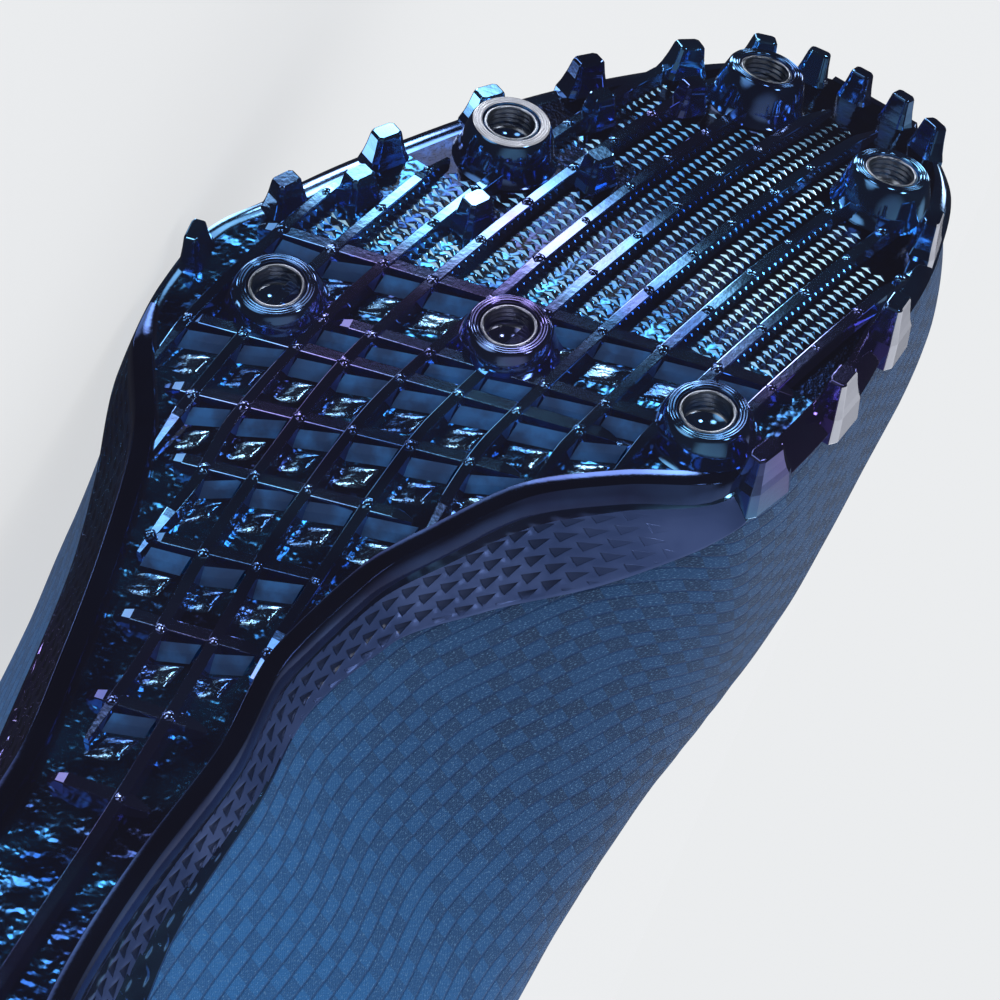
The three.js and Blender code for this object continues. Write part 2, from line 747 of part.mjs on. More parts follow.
// Turn that brings the shoe down on its outer side, where its centre of mass is lowest
function restingTurn(pieces) {
  const points = [];
  const centre = new THREE.Vector3();
  let grams = 0;
  for (const mesh of pieces) {
    const position = mesh.geometry.attributes.position;
    const middle = new THREE.Box3().setFromBufferAttribute(position).getCenter(new THREE.Vector3());
    centre.addScaledVector(middle, mesh.userData.grams);
    grams += mesh.userData.grams;
    for (let i = 0; i < position.count; i += 1) points.push(new THREE.Vector3().fromBufferAttribute(position, i));
  }
  centre.divideScalar(grams);
  const downAt = (roll, pitch) =>
    new THREE.Vector3(Math.sin(pitch), -Math.cos(roll) * Math.cos(pitch), -Math.sin(roll) * Math.cos(pitch));
  const height = (roll, pitch) => {
    const down = downAt(roll, pitch);
    return points.reduce((most, point) => Math.max(most, point.dot(down)), -Infinity) - centre.dot(down);
  };
  const directions = 24;
  let best = { roll: 0.1, pitch: 0.02, height: height(0.1, 0.02) };
  for (let step = 0.12; step > 0.00005; ) {
    const tries = [];
    for (let i = 0; i < directions; i += 1) {
      const angle = (i * 2 * Math.PI) / directions + step * 1000;
      const [roll, pitch] = [best.roll + step * Math.cos(angle), best.pitch + step * Math.sin(angle)];
      tries.push({ roll, pitch, height: height(roll, pitch) });
    }
    const lowest = tries.reduce((a, b) => (a.height < b.height ? a : b));
    if (lowest.height < best.height - 1e-7) best = lowest;
    else step /= 2;
  }
  return downAt(best.roll, best.pitch);
}

// World frame: Z up, the toe towards -X, the sole facing -Y, the origin under the middle
function layDown(pieces) {
  const up = restingTurn(pieces).negate();
  const toe = new THREE.Vector3(1, 0, 0).addScaledVector(up, -up.x).normalize().negate();
  const side = new THREE.Vector3().crossVectors(up, toe);
  const turn = new THREE.Matrix4().makeBasis(toe, side, up).transpose();
  const lying = new THREE.Group();
  lying.add(...pieces);
  lying.quaternion.setFromRotationMatrix(turn);
  lying.updateMatrixWorld(true);
  const box = new THREE.Box3().setFromObject(lying, true);
  const middle = box.getCenter(new THREE.Vector3());
  lying.position.set(-middle.x, -middle.y, -box.min.z);
  const shoe = new THREE.Group();
  shoe.name = "track_spike_shoe";
  shoe.add(lying);
  return shoe;
}

const trackSpikeShoe = layDown(makePieces());

export default trackSpikeShoe;
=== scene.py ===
# Track spike shoe for the right foot, lying on its outer side.
# The pieces are worked out in the shoe's own axes in millimetres (x heel to toe, y to the inner side,
# z up from the sole) and then laid down where the frame's spike seats are.
import bpy
import bmesh
import json
import math
import numpy as np
from mathutils import Matrix, Vector


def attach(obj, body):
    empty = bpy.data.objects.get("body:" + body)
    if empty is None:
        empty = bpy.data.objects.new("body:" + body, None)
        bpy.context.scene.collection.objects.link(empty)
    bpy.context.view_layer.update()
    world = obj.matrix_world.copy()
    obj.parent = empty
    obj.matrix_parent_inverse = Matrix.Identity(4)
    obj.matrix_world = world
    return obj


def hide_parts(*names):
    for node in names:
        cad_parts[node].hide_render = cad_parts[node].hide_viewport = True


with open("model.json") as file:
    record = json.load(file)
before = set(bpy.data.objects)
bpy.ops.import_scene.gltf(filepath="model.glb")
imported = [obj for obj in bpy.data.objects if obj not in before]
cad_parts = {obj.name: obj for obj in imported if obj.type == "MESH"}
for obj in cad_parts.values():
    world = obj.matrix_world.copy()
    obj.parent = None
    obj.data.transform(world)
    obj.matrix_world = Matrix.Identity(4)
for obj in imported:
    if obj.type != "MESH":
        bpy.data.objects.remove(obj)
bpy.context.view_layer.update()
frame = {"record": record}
scene = bpy.context.scene
print("frame loaded")

shoe = {
    "length": 285.0, "ballWidth": 92.0, "instepHeight": 72.0, "heelHeight": 66.0,
    "archRise": 9.0, "toeSpring": 16.0, "plateThickness": 1.6, "upperWall": 1.5, "pieceGap": 0.3,
}
length, ballWidth = shoe["length"], shoe["ballWidth"]

# Sections of the last from heel to toe, as shares of the named sizes
lastColumns = "at arch spring footIn footOut wideIn wideOut wideUp top ridge flareIn flareOut full".split()
lastRows = np.array([
    [0.0, 0.75, 0, 0.22, 0.09, 0.26, 0.05, 0.38, 0.57, 0.15, 0.75, 0.75, 2],
    [0.012, 0.5, 0, 0.28, 0.03, 0.36, -0.05, 0.42, 0.86, 0.15, 0.75, 0.75, 2],
    [0.036, 0.35, 0, 0.34, -0.01, 0.435, -0.13, 0.46, 1.1, 0.15, 0.7, 0.7, 2],
    [0.08, 0.3, 0, 0.375, -0.045, 0.49, -0.185, 0.49, 1.26, 0.15, 0.6, 0.6, 1.9],
    [0.14, 0.35, 0, 0.365, -0.075, 0.505, -0.22, 0.51, 1.34, 0.15, 0.5, 0.5, 1.8],
    [0.21, 0.6, 0, 0.25, -0.09, 0.49, -0.26, 0.52, 1.34, 0.14, 0.35, 0.45, 1.8],
    [0.29, 0.88, 0, 0.105, -0.12, 0.46, -0.325, 0.53, 1.24, 0.1, 0.25, 0.4, 1.8],
    [0.37, 1, 0, 0.04, -0.175, 0.44, -0.41, 0.54, 1.1, 0.055, 0.22, 0.4, 1.9],
    [0.43, 0.9, 0, 0.015, -0.25, 0.43, -0.48, 0.54, 1.05, 0.01, 0.22, 0.4, 2],
    [0.49, 0.68, 0, -0.03, -0.335, 0.415, -0.545, 0.55, 1, -0.03, 0.22, 0.4, 2],
    [0.54, 0.44, 0, -0.02, -0.42, 0.39, -0.6, 0.54, 0.92, -0.065, 0.25, 0.45, 2],
    [0.585, 0.24, 0, 0.025, -0.54, 0.375, -0.635, 0.525, 0.86, -0.09, 0.35, 0.55, 2],
    [0.62, 0.11, 0, 0.07, -0.585, 0.367, -0.65, 0.51, 0.81, -0.105, 0.5, 0.65, 2],
    [0.655, 0.03, 0, 0.165, -0.6, 0.365, -0.657, 0.495, 0.76, -0.12, 0.65, 0.75, 2],
    [0.69, 0, 0, 0.28, -0.57, 0.362, -0.64, 0.47, 0.715, -0.125, 0.8, 0.8, 2],
    [0.73, 0, 0.01, 0.305, -0.535, 0.353, -0.61, 0.44, 0.665, -0.13, 0.85, 0.85, 2],
    [0.78, 0, 0.07, 0.295, -0.49, 0.326, -0.555, 0.4, 0.61, -0.12, 0.85, 0.85, 2],
    [0.83, 0, 0.18, 0.26, -0.445, 0.293, -0.5, 0.355, 0.555, -0.11, 0.85, 0.85, 2],
    [0.88, 0, 0.34, 0.225, -0.39, 0.26, -0.445, 0.3, 0.5, -0.1, 0.85, 0.85, 2],
    [0.925, 0, 0.54, 0.17, -0.335, 0.217, -0.39, 0.24, 0.43, -0.09, 0.85, 0.85, 2.1],
    [0.96, 0, 0.73, 0.12, -0.29, 0.158, -0.337, 0.2, 0.36, -0.09, 0.8, 0.8, 2.2],
    [0.985, 0, 0.89, 0.055, -0.24, 0.087, -0.283, 0.165, 0.28, -0.09, 0.8, 0.8, 2.2],
    [1.0, 0, 1, -0.01, -0.165, 0.01, -0.195, 0.125, 0.18, -0.09, 0.8, 0.8, 2.2],
])

# Spike sockets: along, across, height of the boss
socketRows = [
    (0.638, -0.43, 5.0), (0.797, -0.379, 6.4), (0.94, -0.198, 6.4),
    (0.916, 0.095, 6.4), (0.708, 0.203, 5.0), (0.689, -0.118, 5.0),
]


def smoothCurve(x, xs, ys):
    xs, ys = np.asarray(xs, float), np.asarray(ys, float)
    steps, rises = np.diff(xs), np.diff(ys) / np.diff(xs)
    slopes = np.zeros(len(xs))
    slopes[0], slopes[-1] = rises[0], rises[-1]
    same = rises[:-1] * rises[1:] > 0
    slopes[1:-1][same] = 2 * (rises[:-1] * rises[1:])[same] / (rises[:-1] + rises[1:])[same]
    x = np.clip(x, xs[0], xs[-1])
    i = np.clip(np.searchsorted(xs, x, side="right") - 1, 0, len(xs) - 2)
    t = (x - xs[i]) / steps[i]
    a, b = (1 + 2 * t) * (1 - t) ** 2, t * (1 - t) ** 2
    c, d = t * t * (3 - 2 * t), t * t * (t - 1)
    return a * ys[i] + b * steps[i] * slopes[i] + c * ys[i + 1] + d * steps[i] * slopes[i + 1]


def last(name, at):
    return smoothCurve(at, lastRows[:, 0], lastRows[:, lastColumns.index(name)])


def soleZ(at):
    return last("arch", at) * shoe["archRise"] + last("spring", at) * shoe["toeSpring"]


def bedZ(at):
    return soleZ(at) + shoe["plateThickness"] + shoe["pieceGap"]


# How the shoe lies: its spike seats in the shoe's own axes against those of the record
def fitToFrame():
    seats = {m["name"]: m for m in frame["record"]["mounts"]}
    plain = lambda at: (np.interp(at, lastRows[:, 0], lastRows[:, 1]) * shoe["archRise"]
                        + np.interp(at, lastRows[:, 0], lastRows[:, 2]) * shoe["toeSpring"])
    # The record marks each seat on its ring, this far from the socket's axis towards the inner side
    ringMiddle, reach = 4.625, 40.0
    own, lying = [], []
    for i, (at, across, height) in enumerate(socketRows):
        slope = math.atan2(plain(at + 0.02) - plain(at - 0.02), 0.04 * length)
        down = np.array([math.sin(slope), 0, -math.cos(slope)])
        point = np.array([at * length, across * ballWidth + ringMiddle, plain(at)]) + down * height
        seat = seats["spike_seat_%d" % (i + 1)]
        spot = np.array(seat["pos_m"]) * 1000
        own += [point, point + reach * down]
        lying += [spot, spot + reach * np.array(seat["axis"])]
    own, lying = np.array(own), np.array(lying)
    ownMiddle, lyingMiddle = own.mean(0), lying.mean(0)
    u, _, vt = np.linalg.svd((own - ownMiddle).T @ (lying - lyingMiddle))
    turn = (u @ np.diag([1, 1, np.sign(np.linalg.det(u @ vt))]) @ vt).T
    place = lyingMiddle - turn @ ownMiddle
    print("seats fit within %.3f mm" % np.abs(own @ turn.T + place - lying).max())
    return turn, place


turn, place = fitToFrame()
layDown = Matrix.Translation(Vector(place / 1000)) @ Matrix(turn.tolist()).to_4x4()


def toWorld(points):
    return (np.asarray(points, float) @ turn.T + place) / 1000


def linkObject(name, data):
    obj = bpy.data.objects.new(name, data)
    scene.collection.objects.link(obj)
    return obj


def addMesh(name, points, faces, material, smooth=True, uv=None):
    mesh = bpy.data.meshes.new(name)
    mesh.from_pydata(toWorld(points).tolist(), [], [list(map(int, face)) for face in faces])
    if uv is not None:
        layer = mesh.uv_layers.new(name="cloth")
        corners = np.empty(len(mesh.loops), int)
        mesh.loops.foreach_get("vertex_index", corners)
        layer.data.foreach_set("uv", np.asarray(uv, float)[corners].ravel())
    mesh.polygons.foreach_set("use_smooth", [smooth] * len(mesh.polygons))
    mesh.materials.append(material)
    mesh.update()
    return linkObject(name, mesh)


def gridFaces(rows, columns, start=0, flip=False):
    i, j = np.meshgrid(np.arange(rows - 1), np.arange(columns - 1), indexing="ij")
    a = (i * columns + j + start).ravel()
    faces = np.stack([a, a + 1, a + columns + 1, a + columns], axis=1)
    return faces[:, ::-1] if flip else faces


def thicken(obj, thick, offset=-1):
    wall = obj.modifiers.new("thickness", "SOLIDIFY")
    wall.thickness, wall.offset = thick / 1000, offset


def mergeDoubles(obj, distance=0.00002):
    shape = bmesh.new()
    shape.from_mesh(obj.data)
    bmesh.ops.remove_doubles(shape, verts=shape.verts, dist=distance)
    bmesh.ops.dissolve_degenerate(shape, dist=0.000001, edges=shape.edges)
    bmesh.ops.recalc_face_normals(shape, faces=shape.faces)
    shape.to_mesh(obj.data)
    shape.free()


def finishPiece(obj, *nodes, slot=None):
    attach(obj, "root")
    if nodes:
        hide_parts(*nodes)


# One side of the last at each station, from the edge of the foot to the ridge, as y and z
def sideLine(at, side, lowerSteps=24, upperSteps=40):
    foot = last("footIn" if side > 0 else "footOut", at)[:, None] * ballWidth
    wide = last("wideIn" if side > 0 else "wideOut", at)[:, None] * ballWidth
    flare = last("flareIn" if side > 0 else "flareOut", at)[:, None]
    ridge = last("ridge", at)[:, None] * ballWidth
    bed = bedZ(at)[:, None]
    high = bed + last("wideUp", at)[:, None] * shoe["instepHeight"]
    top = bed + last("top", at)[:, None] * shoe["instepHeight"]
    full = last("full", at)[:, None]
    t = np.linspace(0, 1, lowerSteps)[None]
    s = 1 - t
    y = s ** 3 * foot + 3 * s * s * t * (foot + flare * (wide - foot)) + (3 * s * t * t + t ** 3) * wide
    z = (s ** 3 * bed + 3 * s * s * t * (bed + (1 - flare) * 0.6 * (high - bed))
         + 3 * s * t * t * (high - 0.35 * (high - bed)) + t ** 3 * high)
    angle = (np.linspace(0, 1, upperSteps)[1:] * math.pi / 2)[None]
    yTop = ridge + (wide - ridge) * np.clip(np.cos(angle), 0, 1) ** (2 / full)
    zTop = high + (top - high) * np.sin(angle) ** (2 / full)
    return np.concatenate([y, yTop], axis=1), np.concatenate([z, zTop], axis=1)


def arcAlong(y, z):
    steps = np.cumsum(np.hypot(np.diff(y), np.diff(z)), axis=1)
    return np.concatenate([np.zeros((len(y), 1)), steps], axis=1)


# Points of a sheet whose lines lie across the shoe, one at each station
def sheetGrid(at, y, z):
    return np.dstack([np.repeat(at[:, None] * length, y.shape[1], 1), y, z])


# Moves each line so that it runs in even steps from one arc length to another
def evenSteps(y, z, start, stop, count):
    arc = arcAlong(y, z)
    share = np.linspace(0, 1, count)
    out = np.empty((len(y), count, 3))
    for i in range(len(y)):
        want = start[i] + (stop[i] - start[i]) * share
        out[i] = np.stack([np.interp(want, arc[i], y[i]), np.interp(want, arc[i], z[i]), want], axis=1)
    return out


# Arc length at which each line first gets above zero
def arcWhere(y, z, value):
    arc = arcAlong(y, z)
    out = np.empty(len(y))
    for i in range(len(y)):
        past = np.nonzero(value[i] > 0)[0]
        if len(past) == 0 or past[0] == 0:
            out[i] = arc[i, -1] if len(past) == 0 else 0
            continue
        k = past[0]
        share = value[i, k - 1] / (value[i, k - 1] - value[i, k])
        out[i] = arc[i, k - 1] + share * (arc[i, k] - arc[i, k - 1])
    return out


def outwards(grid, side):
    along, up = np.gradient(grid, axis=0), np.gradient(grid, axis=1)
    normal = np.cross(along, up) * -side
    return normal / np.maximum(np.linalg.norm(normal, axis=2, keepdims=True), 1e-9)


# Materials: small helpers, then the effects that several of them share
def newMaterial(name):
    material = bpy.data.materials.new(name)
    material.use_nodes = True
    return material, material.node_tree, material.node_tree.nodes["Principled BSDF"]


def setShader(shader, **values):
    for key, value in values.items():
        shader.inputs[key.replace("_", " ")].default_value = value


def newGroup(name, inputs, outputs):
    group = bpy.data.node_groups.new(name, "ShaderNodeTree")
    for label, kind, value in inputs:
        socket = group.interface.new_socket(label, in_out="INPUT", socket_type="NodeSocket" + kind)
        socket.default_value = value
    for label, kind in outputs:
        group.interface.new_socket(label, in_out="OUTPUT", socket_type="NodeSocket" + kind)
    return group, group.nodes.new("NodeGroupInput").outputs, group.nodes.new("NodeGroupOutput").inputs


def feed(tree, socket, value):
    if isinstance(value, (int, float, tuple)):
        socket.default_value = value
    else:
        tree.links.new(value, socket)


def maths(tree, operation, *values):
    node = tree.nodes.new("ShaderNodeMath")
    node.operation = operation
    for socket, value in zip(node.inputs, values):
        feed(tree, socket, value)
    return node.outputs[0]


def spread(tree, value, low, high, smooth=False, start=0.0, stop=1.0):
    node = tree.nodes.new("ShaderNodeMapRange")
    node.interpolation_type = "SMOOTHSTEP" if smooth else "LINEAR"
    labels = ("Value", "From Min", "From Max", "To Min", "To Max")
    for label, number in zip(labels, (value, low, high, start, stop)):
        feed(tree, node.inputs[label], number)
    return node.outputs[0]


def noise(tree, vector, scale, detail=2.0):
    node = tree.nodes.new("ShaderNodeTexNoise")
    for label, value in (("Vector", vector), ("Scale", scale), ("Detail", detail)):
        feed(tree, node.inputs[label], value)
    return node.outputs[0]


def splitVector(tree, vector):
    node = tree.nodes.new("ShaderNodeSeparateXYZ")
    tree.links.new(vector, node.inputs[0])
    return node.outputs


def mixColours(tree, factor, a, b):
    node = tree.nodes.new("ShaderNodeMix")
    node.data_type = "RGBA"
    for socket, value in ((node.inputs[0], factor), (node.inputs[6], a), (node.inputs[7], b)):
        feed(tree, socket, value)
    return node.outputs[2]


def clothMap(tree):
    place = tree.nodes.new("ShaderNodeUVMap")
    place.uv_map = "cloth"
    return place.outputs[0]


def placeGroup(tree, group, **values):
    node = tree.nodes.new("ShaderNodeGroup")
    node.node_tree = group
    for key, value in values.items():
        node.inputs[key].default_value = value
    return node


# Adds a bump over the one that the shader may already have
def bumpInto(tree, shader, height, strength, distance=0.0002):
    bump = tree.nodes.new("ShaderNodeBump")
    bump.inputs["Strength"].default_value = strength
    bump.inputs["Distance"].default_value = distance
    tree.links.new(height, bump.inputs["Height"])
    if shader.inputs["Normal"].is_linked:
        tree.links.new(shader.inputs["Normal"].links[0].from_socket, bump.inputs["Normal"])
    tree.links.new(bump.outputs[0], shader.inputs["Normal"])


# How every woven piece looks: shares of a groove's or a cell's width, thread counts and heights
clothLook = {
    "grooveFrom": 0.38, "grooveTo": 0.48, "grooveShare": 0.55, "grooveDepth": 0.9,
    "groove": (0.008, 0.035, 0.13, 1), "bareSquares": 0.12, "blotchScale": 1.3, "blotchShare": 0.9,
    "blotchFloor": 0.25, "yarns": 150.0, "yarnHeight": 0.25, "threadStretch": (26.0, 60.0, 1.0),
    "threadHeight": 0.6, "fleckFrom": 0.56, "fleckTo": 0.7, "fleckShare": 0.55,
}


# Woven cloth on a map in centimetres: heather threads, pinstripe grooves and darker squares between them
def makeWeave():
    group, start, end = newGroup(
        "weave",
        [("Vector", "Vector", (0, 0, 0)), ("Ground", "Color", (0.03, 0.12, 0.3, 1)),
         ("Square", "Color", (0.04, 0.06, 0.14, 1)), ("Fleck", "Color", (0.2, 0.4, 0.65, 1)),
         ("Stripes", "Float", 4.8), ("Squares", "Float", 3.2)],
        [("Color", "Color"), ("Height", "Float")],
    )

    def times(a, b):
        return maths(group, "MULTIPLY", a, b)

    along, up = splitVector(group, start["Vector"])[:2]
    level = times(up, start["Stripes"])
    edge = maths(group, "ABSOLUTE", maths(group, "SUBTRACT", maths(group, "FRACT", level), 0.5))
    groove = spread(group, edge, clothLook["grooveFrom"], clothLook["grooveTo"], smooth=True)
    row, column = maths(group, "FLOOR", level), maths(group, "FLOOR", times(along, start["Squares"]))
    # 200 keeps the sum above zero, so that every second cell is odd
    odd = maths(group, "MODULO", maths(group, "ADD", maths(group, "ADD", row, column), 200.0), 2.0)
    cell = group.nodes.new("ShaderNodeCombineXYZ")
    group.links.new(row, cell.inputs[0])
    group.links.new(column, cell.inputs[1])
    chance = group.nodes.new("ShaderNodeTexWhiteNoise")
    chance.noise_dimensions = "2D"
    group.links.new(cell.outputs[0], chance.inputs["Vector"])
    kept = maths(group, "GREATER_THAN", chance.outputs[0], clothLook["bareSquares"])
    square = times(maths(group, "GREATER_THAN", odd, 0.5), kept)
    stretch = group.nodes.new("ShaderNodeVectorMath")
    stretch.operation = "MULTIPLY"
    stretch.inputs[1].default_value = clothLook["threadStretch"]
    group.links.new(start["Vector"], stretch.inputs[0])
    threads = noise(group, stretch.outputs[0], 1.0)
    blotch = noise(group, start["Vector"], clothLook["blotchScale"])
    fleck = spread(group, threads, clothLook["fleckFrom"], clothLook["fleckTo"])
    warp, weft = (maths(group, "SINE", times(way, clothLook["yarns"])) for way in (along, up))
    softer = maths(group, "MULTIPLY_ADD", blotch, clothLook["blotchShare"], clothLook["blotchFloor"])
    colour = mixColours(group, times(square, softer), start["Ground"], start["Square"])
    colour = mixColours(group, times(fleck, clothLook["fleckShare"]), colour, start["Fleck"])
    colour = mixColours(group, times(groove, clothLook["grooveShare"]), colour, clothLook["groove"])
    group.links.new(colour, end["Color"])
    height = maths(group, "MULTIPLY_ADD", times(warp, weft), clothLook["yarnHeight"],
                   times(threads, clothLook["threadHeight"]))
    height = maths(group, "SUBTRACT", height, times(groove, clothLook["grooveDepth"]))
    group.links.new(height, end["Height"])
    return group


# Clouding and fine specks in a moulded or plated surface
def makeClouding():
    group, start, end = newGroup(
        "clouding",
        [("Dark", "Color", (0.01, 0.01, 0.03, 1)), ("Light", "Color", (0.05, 0.1, 0.25, 1)),
         ("Tint", "Color", (0.08, 0.04, 0.16, 1)), ("Scale", "Float", 60.0), ("Specks", "Float", 1400.0)],
        [("Color", "Color"), ("Height", "Float")],
    )
    place = group.nodes.new("ShaderNodeTexCoord").outputs["Object"]
    patch = spread(group, noise(group, place, start["Scale"], 3.0), 0.38, 0.62)
    haze = spread(group, noise(group, place, maths(group, "MULTIPLY", start["Scale"], 0.45)), 0.48, 0.66)
    colour = mixColours(group, patch, start["Dark"], start["Light"])
    group.links.new(mixColours(group, haze, colour, start["Tint"]), end["Color"])
    group.links.new(noise(group, place, start["Specks"]), end["Height"])
    return group


weave, clouding = makeWeave(), makeClouding()

# Colours of the plate, the sockets and the welded film, a pale colour painted onto some faces as a highlight,
# and the painted glow of the plated body, which is no lamp
finishColours = {
    "dark": (0.035, 0.10, 0.30, 1), "light": (0.15, 0.42, 0.75, 1), "tint": (0.20, 0.14, 0.42, 1),
    "foilDark": (0.10, 0.34, 0.70, 1), "foilLight": (0.55, 0.82, 0.98, 1),
    "paintedHighlight": (0.55, 0.57, 0.66, 1), "waveDark": (0.03, 0.13, 0.32, 1),
    "waveLight": (0.28, 0.5, 0.75, 1), "rimDark": (0.02, 0.03, 0.10, 1), "rimLight": (0.05, 0.10, 0.26, 1),
    "waistDark": (0.008, 0.04, 0.16, 1), "waistLight": (0.05, 0.27, 0.6, 1),
    "floorDark": (0.001, 0.004, 0.02, 1), "floorLight": (0.004, 0.018, 0.075, 1),
    "facetDark": (0.004, 0.036, 0.13, 1), "facetLight": (0.010, 0.105, 0.33, 1),
    "flangeDark": (0.075, 0.125, 0.33, 1), "flangeLight": (0.13, 0.20, 0.48, 1),
    "pitShade": (0.012, 0.016, 0.04, 1), "metalDark": (0.30, 0.33, 0.40, 1),
    "metalLight": (0.45, 0.48, 0.55, 1), "metalTint": (0.35, 0.34, 0.45, 1),
    "filmDark": (0.012, 0.03, 0.1, 1), "filmLight": (0.016, 0.04, 0.13, 1),
    "filmTint": (0.014, 0.035, 0.11, 1), "body": (0.0062, 0.0062, 0.0105, 1),
}


# A clouded surface from the names of its dark, light and haze colours
def platedMaterial(name, dark, light, tint, metallic=1.0, roughness=0.1, coat=0.1, scale=60.0, bump=0.12,
                   body=1.0, specks=1400.0, deep=0.0001):
    material, tree, shader = newMaterial(name)
    setShader(shader, Metallic=metallic, Roughness=roughness, Coat_Weight=coat, Coat_Roughness=0.04, IOR=1.5)
    # The plated pieces glow faintly though they are no lamp: painted light that lifts their blacks
    setShader(shader, Emission_Color=finishColours["body"], Emission_Strength=body)
    clouds = placeGroup(tree, clouding, Dark=finishColours[dark], Light=finishColours[light],
                        Tint=finishColours[tint], Scale=scale, Specks=specks)
    tree.links.new(clouds.outputs["Color"], shader.inputs["Base Color"])
    bumpInto(tree, shader, clouds.outputs["Height"], bump, deep)
    return material


plated = platedMaterial("platedPlastic", "dark", "light", "tint", roughness=0.09, coat=0.3, bump=0.08)
# A pale finish painted onto chosen faces as a highlight, standing in for the light they would mirror
paintedHighlight = platedMaterial("paintedHighlightFace", "paintedHighlight", "paintedHighlight", "paintedHighlight", 0.3, 0.25, 0.5, bump=0.05,
                           body=0.0)
sparkling = platedMaterial("platedFoil", "waveDark", "waveLight", "dark", roughness=0.14, coat=0.2, scale=260.0,
                           bump=0.8)
rimPlating = platedMaterial("rimPlating", "rimDark", "rimLight", "rimDark", roughness=0.09, bump=0.08)
platedFloor = platedMaterial("platedFloor", "floorDark", "floorLight", "floorDark", roughness=0.12,
                             scale=400.0, bump=0.5)
waistFoil = platedMaterial("waistFoil", "waistDark", "waistLight", "rimDark", roughness=0.14, scale=120.0,
                           bump=1.0, specks=330.0, deep=0.0005)
foil = platedMaterial("platedFins", "foilDark", "foilLight", "light", coat=0.2)
facetSatin = platedMaterial("facetSatin", "facetDark", "facetLight", "facetDark", 0.0, 0.5, 0.0, 260.0, 0.35,
                            body=0.0)
flangeSatin = platedMaterial("flangeSatin", "flangeDark", "flangeLight", "flangeDark", 0.7, 0.3, 0.2, 90.0,
                             body=0.0)
flangeGloss = platedMaterial("flangeGloss", "dark", "light", "tint", roughness=0.16, coat=0.3)
darkMetal = platedMaterial("darkMetal", "metalDark", "metalLight", "metalTint", 1.0, 0.28, 0.0, bump=0.1,
                           body=0.0)
filmSatin = platedMaterial("filmSatin", "filmDark", "filmLight", "filmTint", 0.0, 0.42, 0.15, bump=0.2,
                           body=0.0)

# Triangular pits of the flange's sides, in millimetres and shares of a pit
pits = {"long": 3.0, "high": 2.0, "edge": 0.045, "start": 0.13, "bump": 0.8, "depth": 0.0006}


# Paints shade into the pits, stronger towards one end of each, and bumps them, on a map in centimetres, where
# "pitted" says
def pitFlange(material):
    tree = material.node_tree
    shader = tree.nodes["Principled BSDF"]
    across, up = splitVector(tree, clothMap(tree))[:2]
    level = maths(tree, "MULTIPLY", up, 10 / pits["high"])
    shift = maths(tree, "MULTIPLY", maths(tree, "FLOOR", level), 0.5)
    s = maths(tree, "FRACT", maths(tree, "MULTIPLY_ADD", across, 10 / pits["long"], shift))
    away = maths(tree, "ABSOLUTE", maths(tree, "SUBTRACT", maths(tree, "FRACT", level), 0.5))
    inside = maths(tree, "MINIMUM", maths(tree, "SUBTRACT", maths(tree, "MULTIPLY_ADD", s, -0.5, 0.5), away),
                   maths(tree, "MULTIPLY_ADD", s, 0.8, -pits["start"]))
    where = tree.nodes.new("ShaderNodeAttribute")
    where.attribute_name = "pitted"
    mask = maths(tree, "MULTIPLY", spread(tree, inside, 0.0, pits["edge"], smooth=True), where.outputs["Fac"])
    clouds = shader.inputs["Base Color"].links[0].from_socket
    # Painted shade inside each pit, stronger towards one end
    deep = maths(tree, "MULTIPLY", mask, maths(tree, "MULTIPLY_ADD", s, 0.35, 0.6))
    tree.links.new(mixColours(tree, deep, clouds, finishColours["pitShade"]), shader.inputs["Base Color"])
    height = maths(tree, "MULTIPLY", mask, maths(tree, "MULTIPLY_ADD", s, 1.0, -1.6))
    bumpInto(tree, shader, height, pits["bump"], pits["depth"])


pitFlange(flangeSatin)
pitFlange(flangeGloss)

# Cloths by ground, square and fleck colour, stripes and squares to the centimetre
cloths = {
    "upperCloth": ((0.014, 0.062, 0.175, 1), (0.013, 0.036, 0.095, 1), (0.15, 0.32, 0.56, 1), 5.0, 3.4),
    "tongueCloth": ((0.02, 0.08, 0.22, 1), (0.02, 0.06, 0.17, 1), (0.1, 0.25, 0.45, 1), 7.0, 7.0),
    "insoleCloth": ((0.012, 0.02, 0.06, 1), (0.012, 0.018, 0.05, 1), (0.05, 0.07, 0.15, 1), 9.0, 9.0),
    "laceCloth": ((0.015, 0.04, 0.12, 1), (0.012, 0.03, 0.1, 1), (0.06, 0.12, 0.28, 1), 12.0, 12.0),
}

# The upper turns bluer towards the waist, between these two places in centimetres
waistCloth = {"from": 17.0, "to": 10.5, "Ground": (0.016, 0.125, 0.36, 1), "Square": (0.013, 0.085, 0.25, 1)}


def clothMaterial(name, waist=None):
    ground, square, fleck, stripes, squares = cloths[name]
    material, tree, shader = newMaterial(name)
    setShader(shader, Roughness=0.8, Sheen_Weight=0.08, Sheen_Roughness=0.5, Specular_IOR_Level=0.35)
    place = clothMap(tree)
    cloth = placeGroup(tree, weave, Ground=ground, Square=square, Fleck=fleck, Stripes=stripes,
                       Squares=squares)
    tree.links.new(place, cloth.inputs["Vector"])
    tree.links.new(cloth.outputs["Color"], shader.inputs["Base Color"])
    bumpInto(tree, shader, cloth.outputs["Height"], 0.7)
    if waist:
        waistward = spread(tree, splitVector(tree, place)[0], waist["from"], waist["to"], smooth=True)
        for label, colour in (("Ground", ground), ("Square", square)):
            tree.links.new(mixColours(tree, waistward, colour, waist[label]), cloth.inputs[label])
    return material


upperCloth, tongueCloth = clothMaterial("upperCloth", waistCloth), clothMaterial("tongueCloth")
insoleCloth, laceCloth = clothMaterial("insoleCloth"), clothMaterial("laceCloth")
print("materials made")

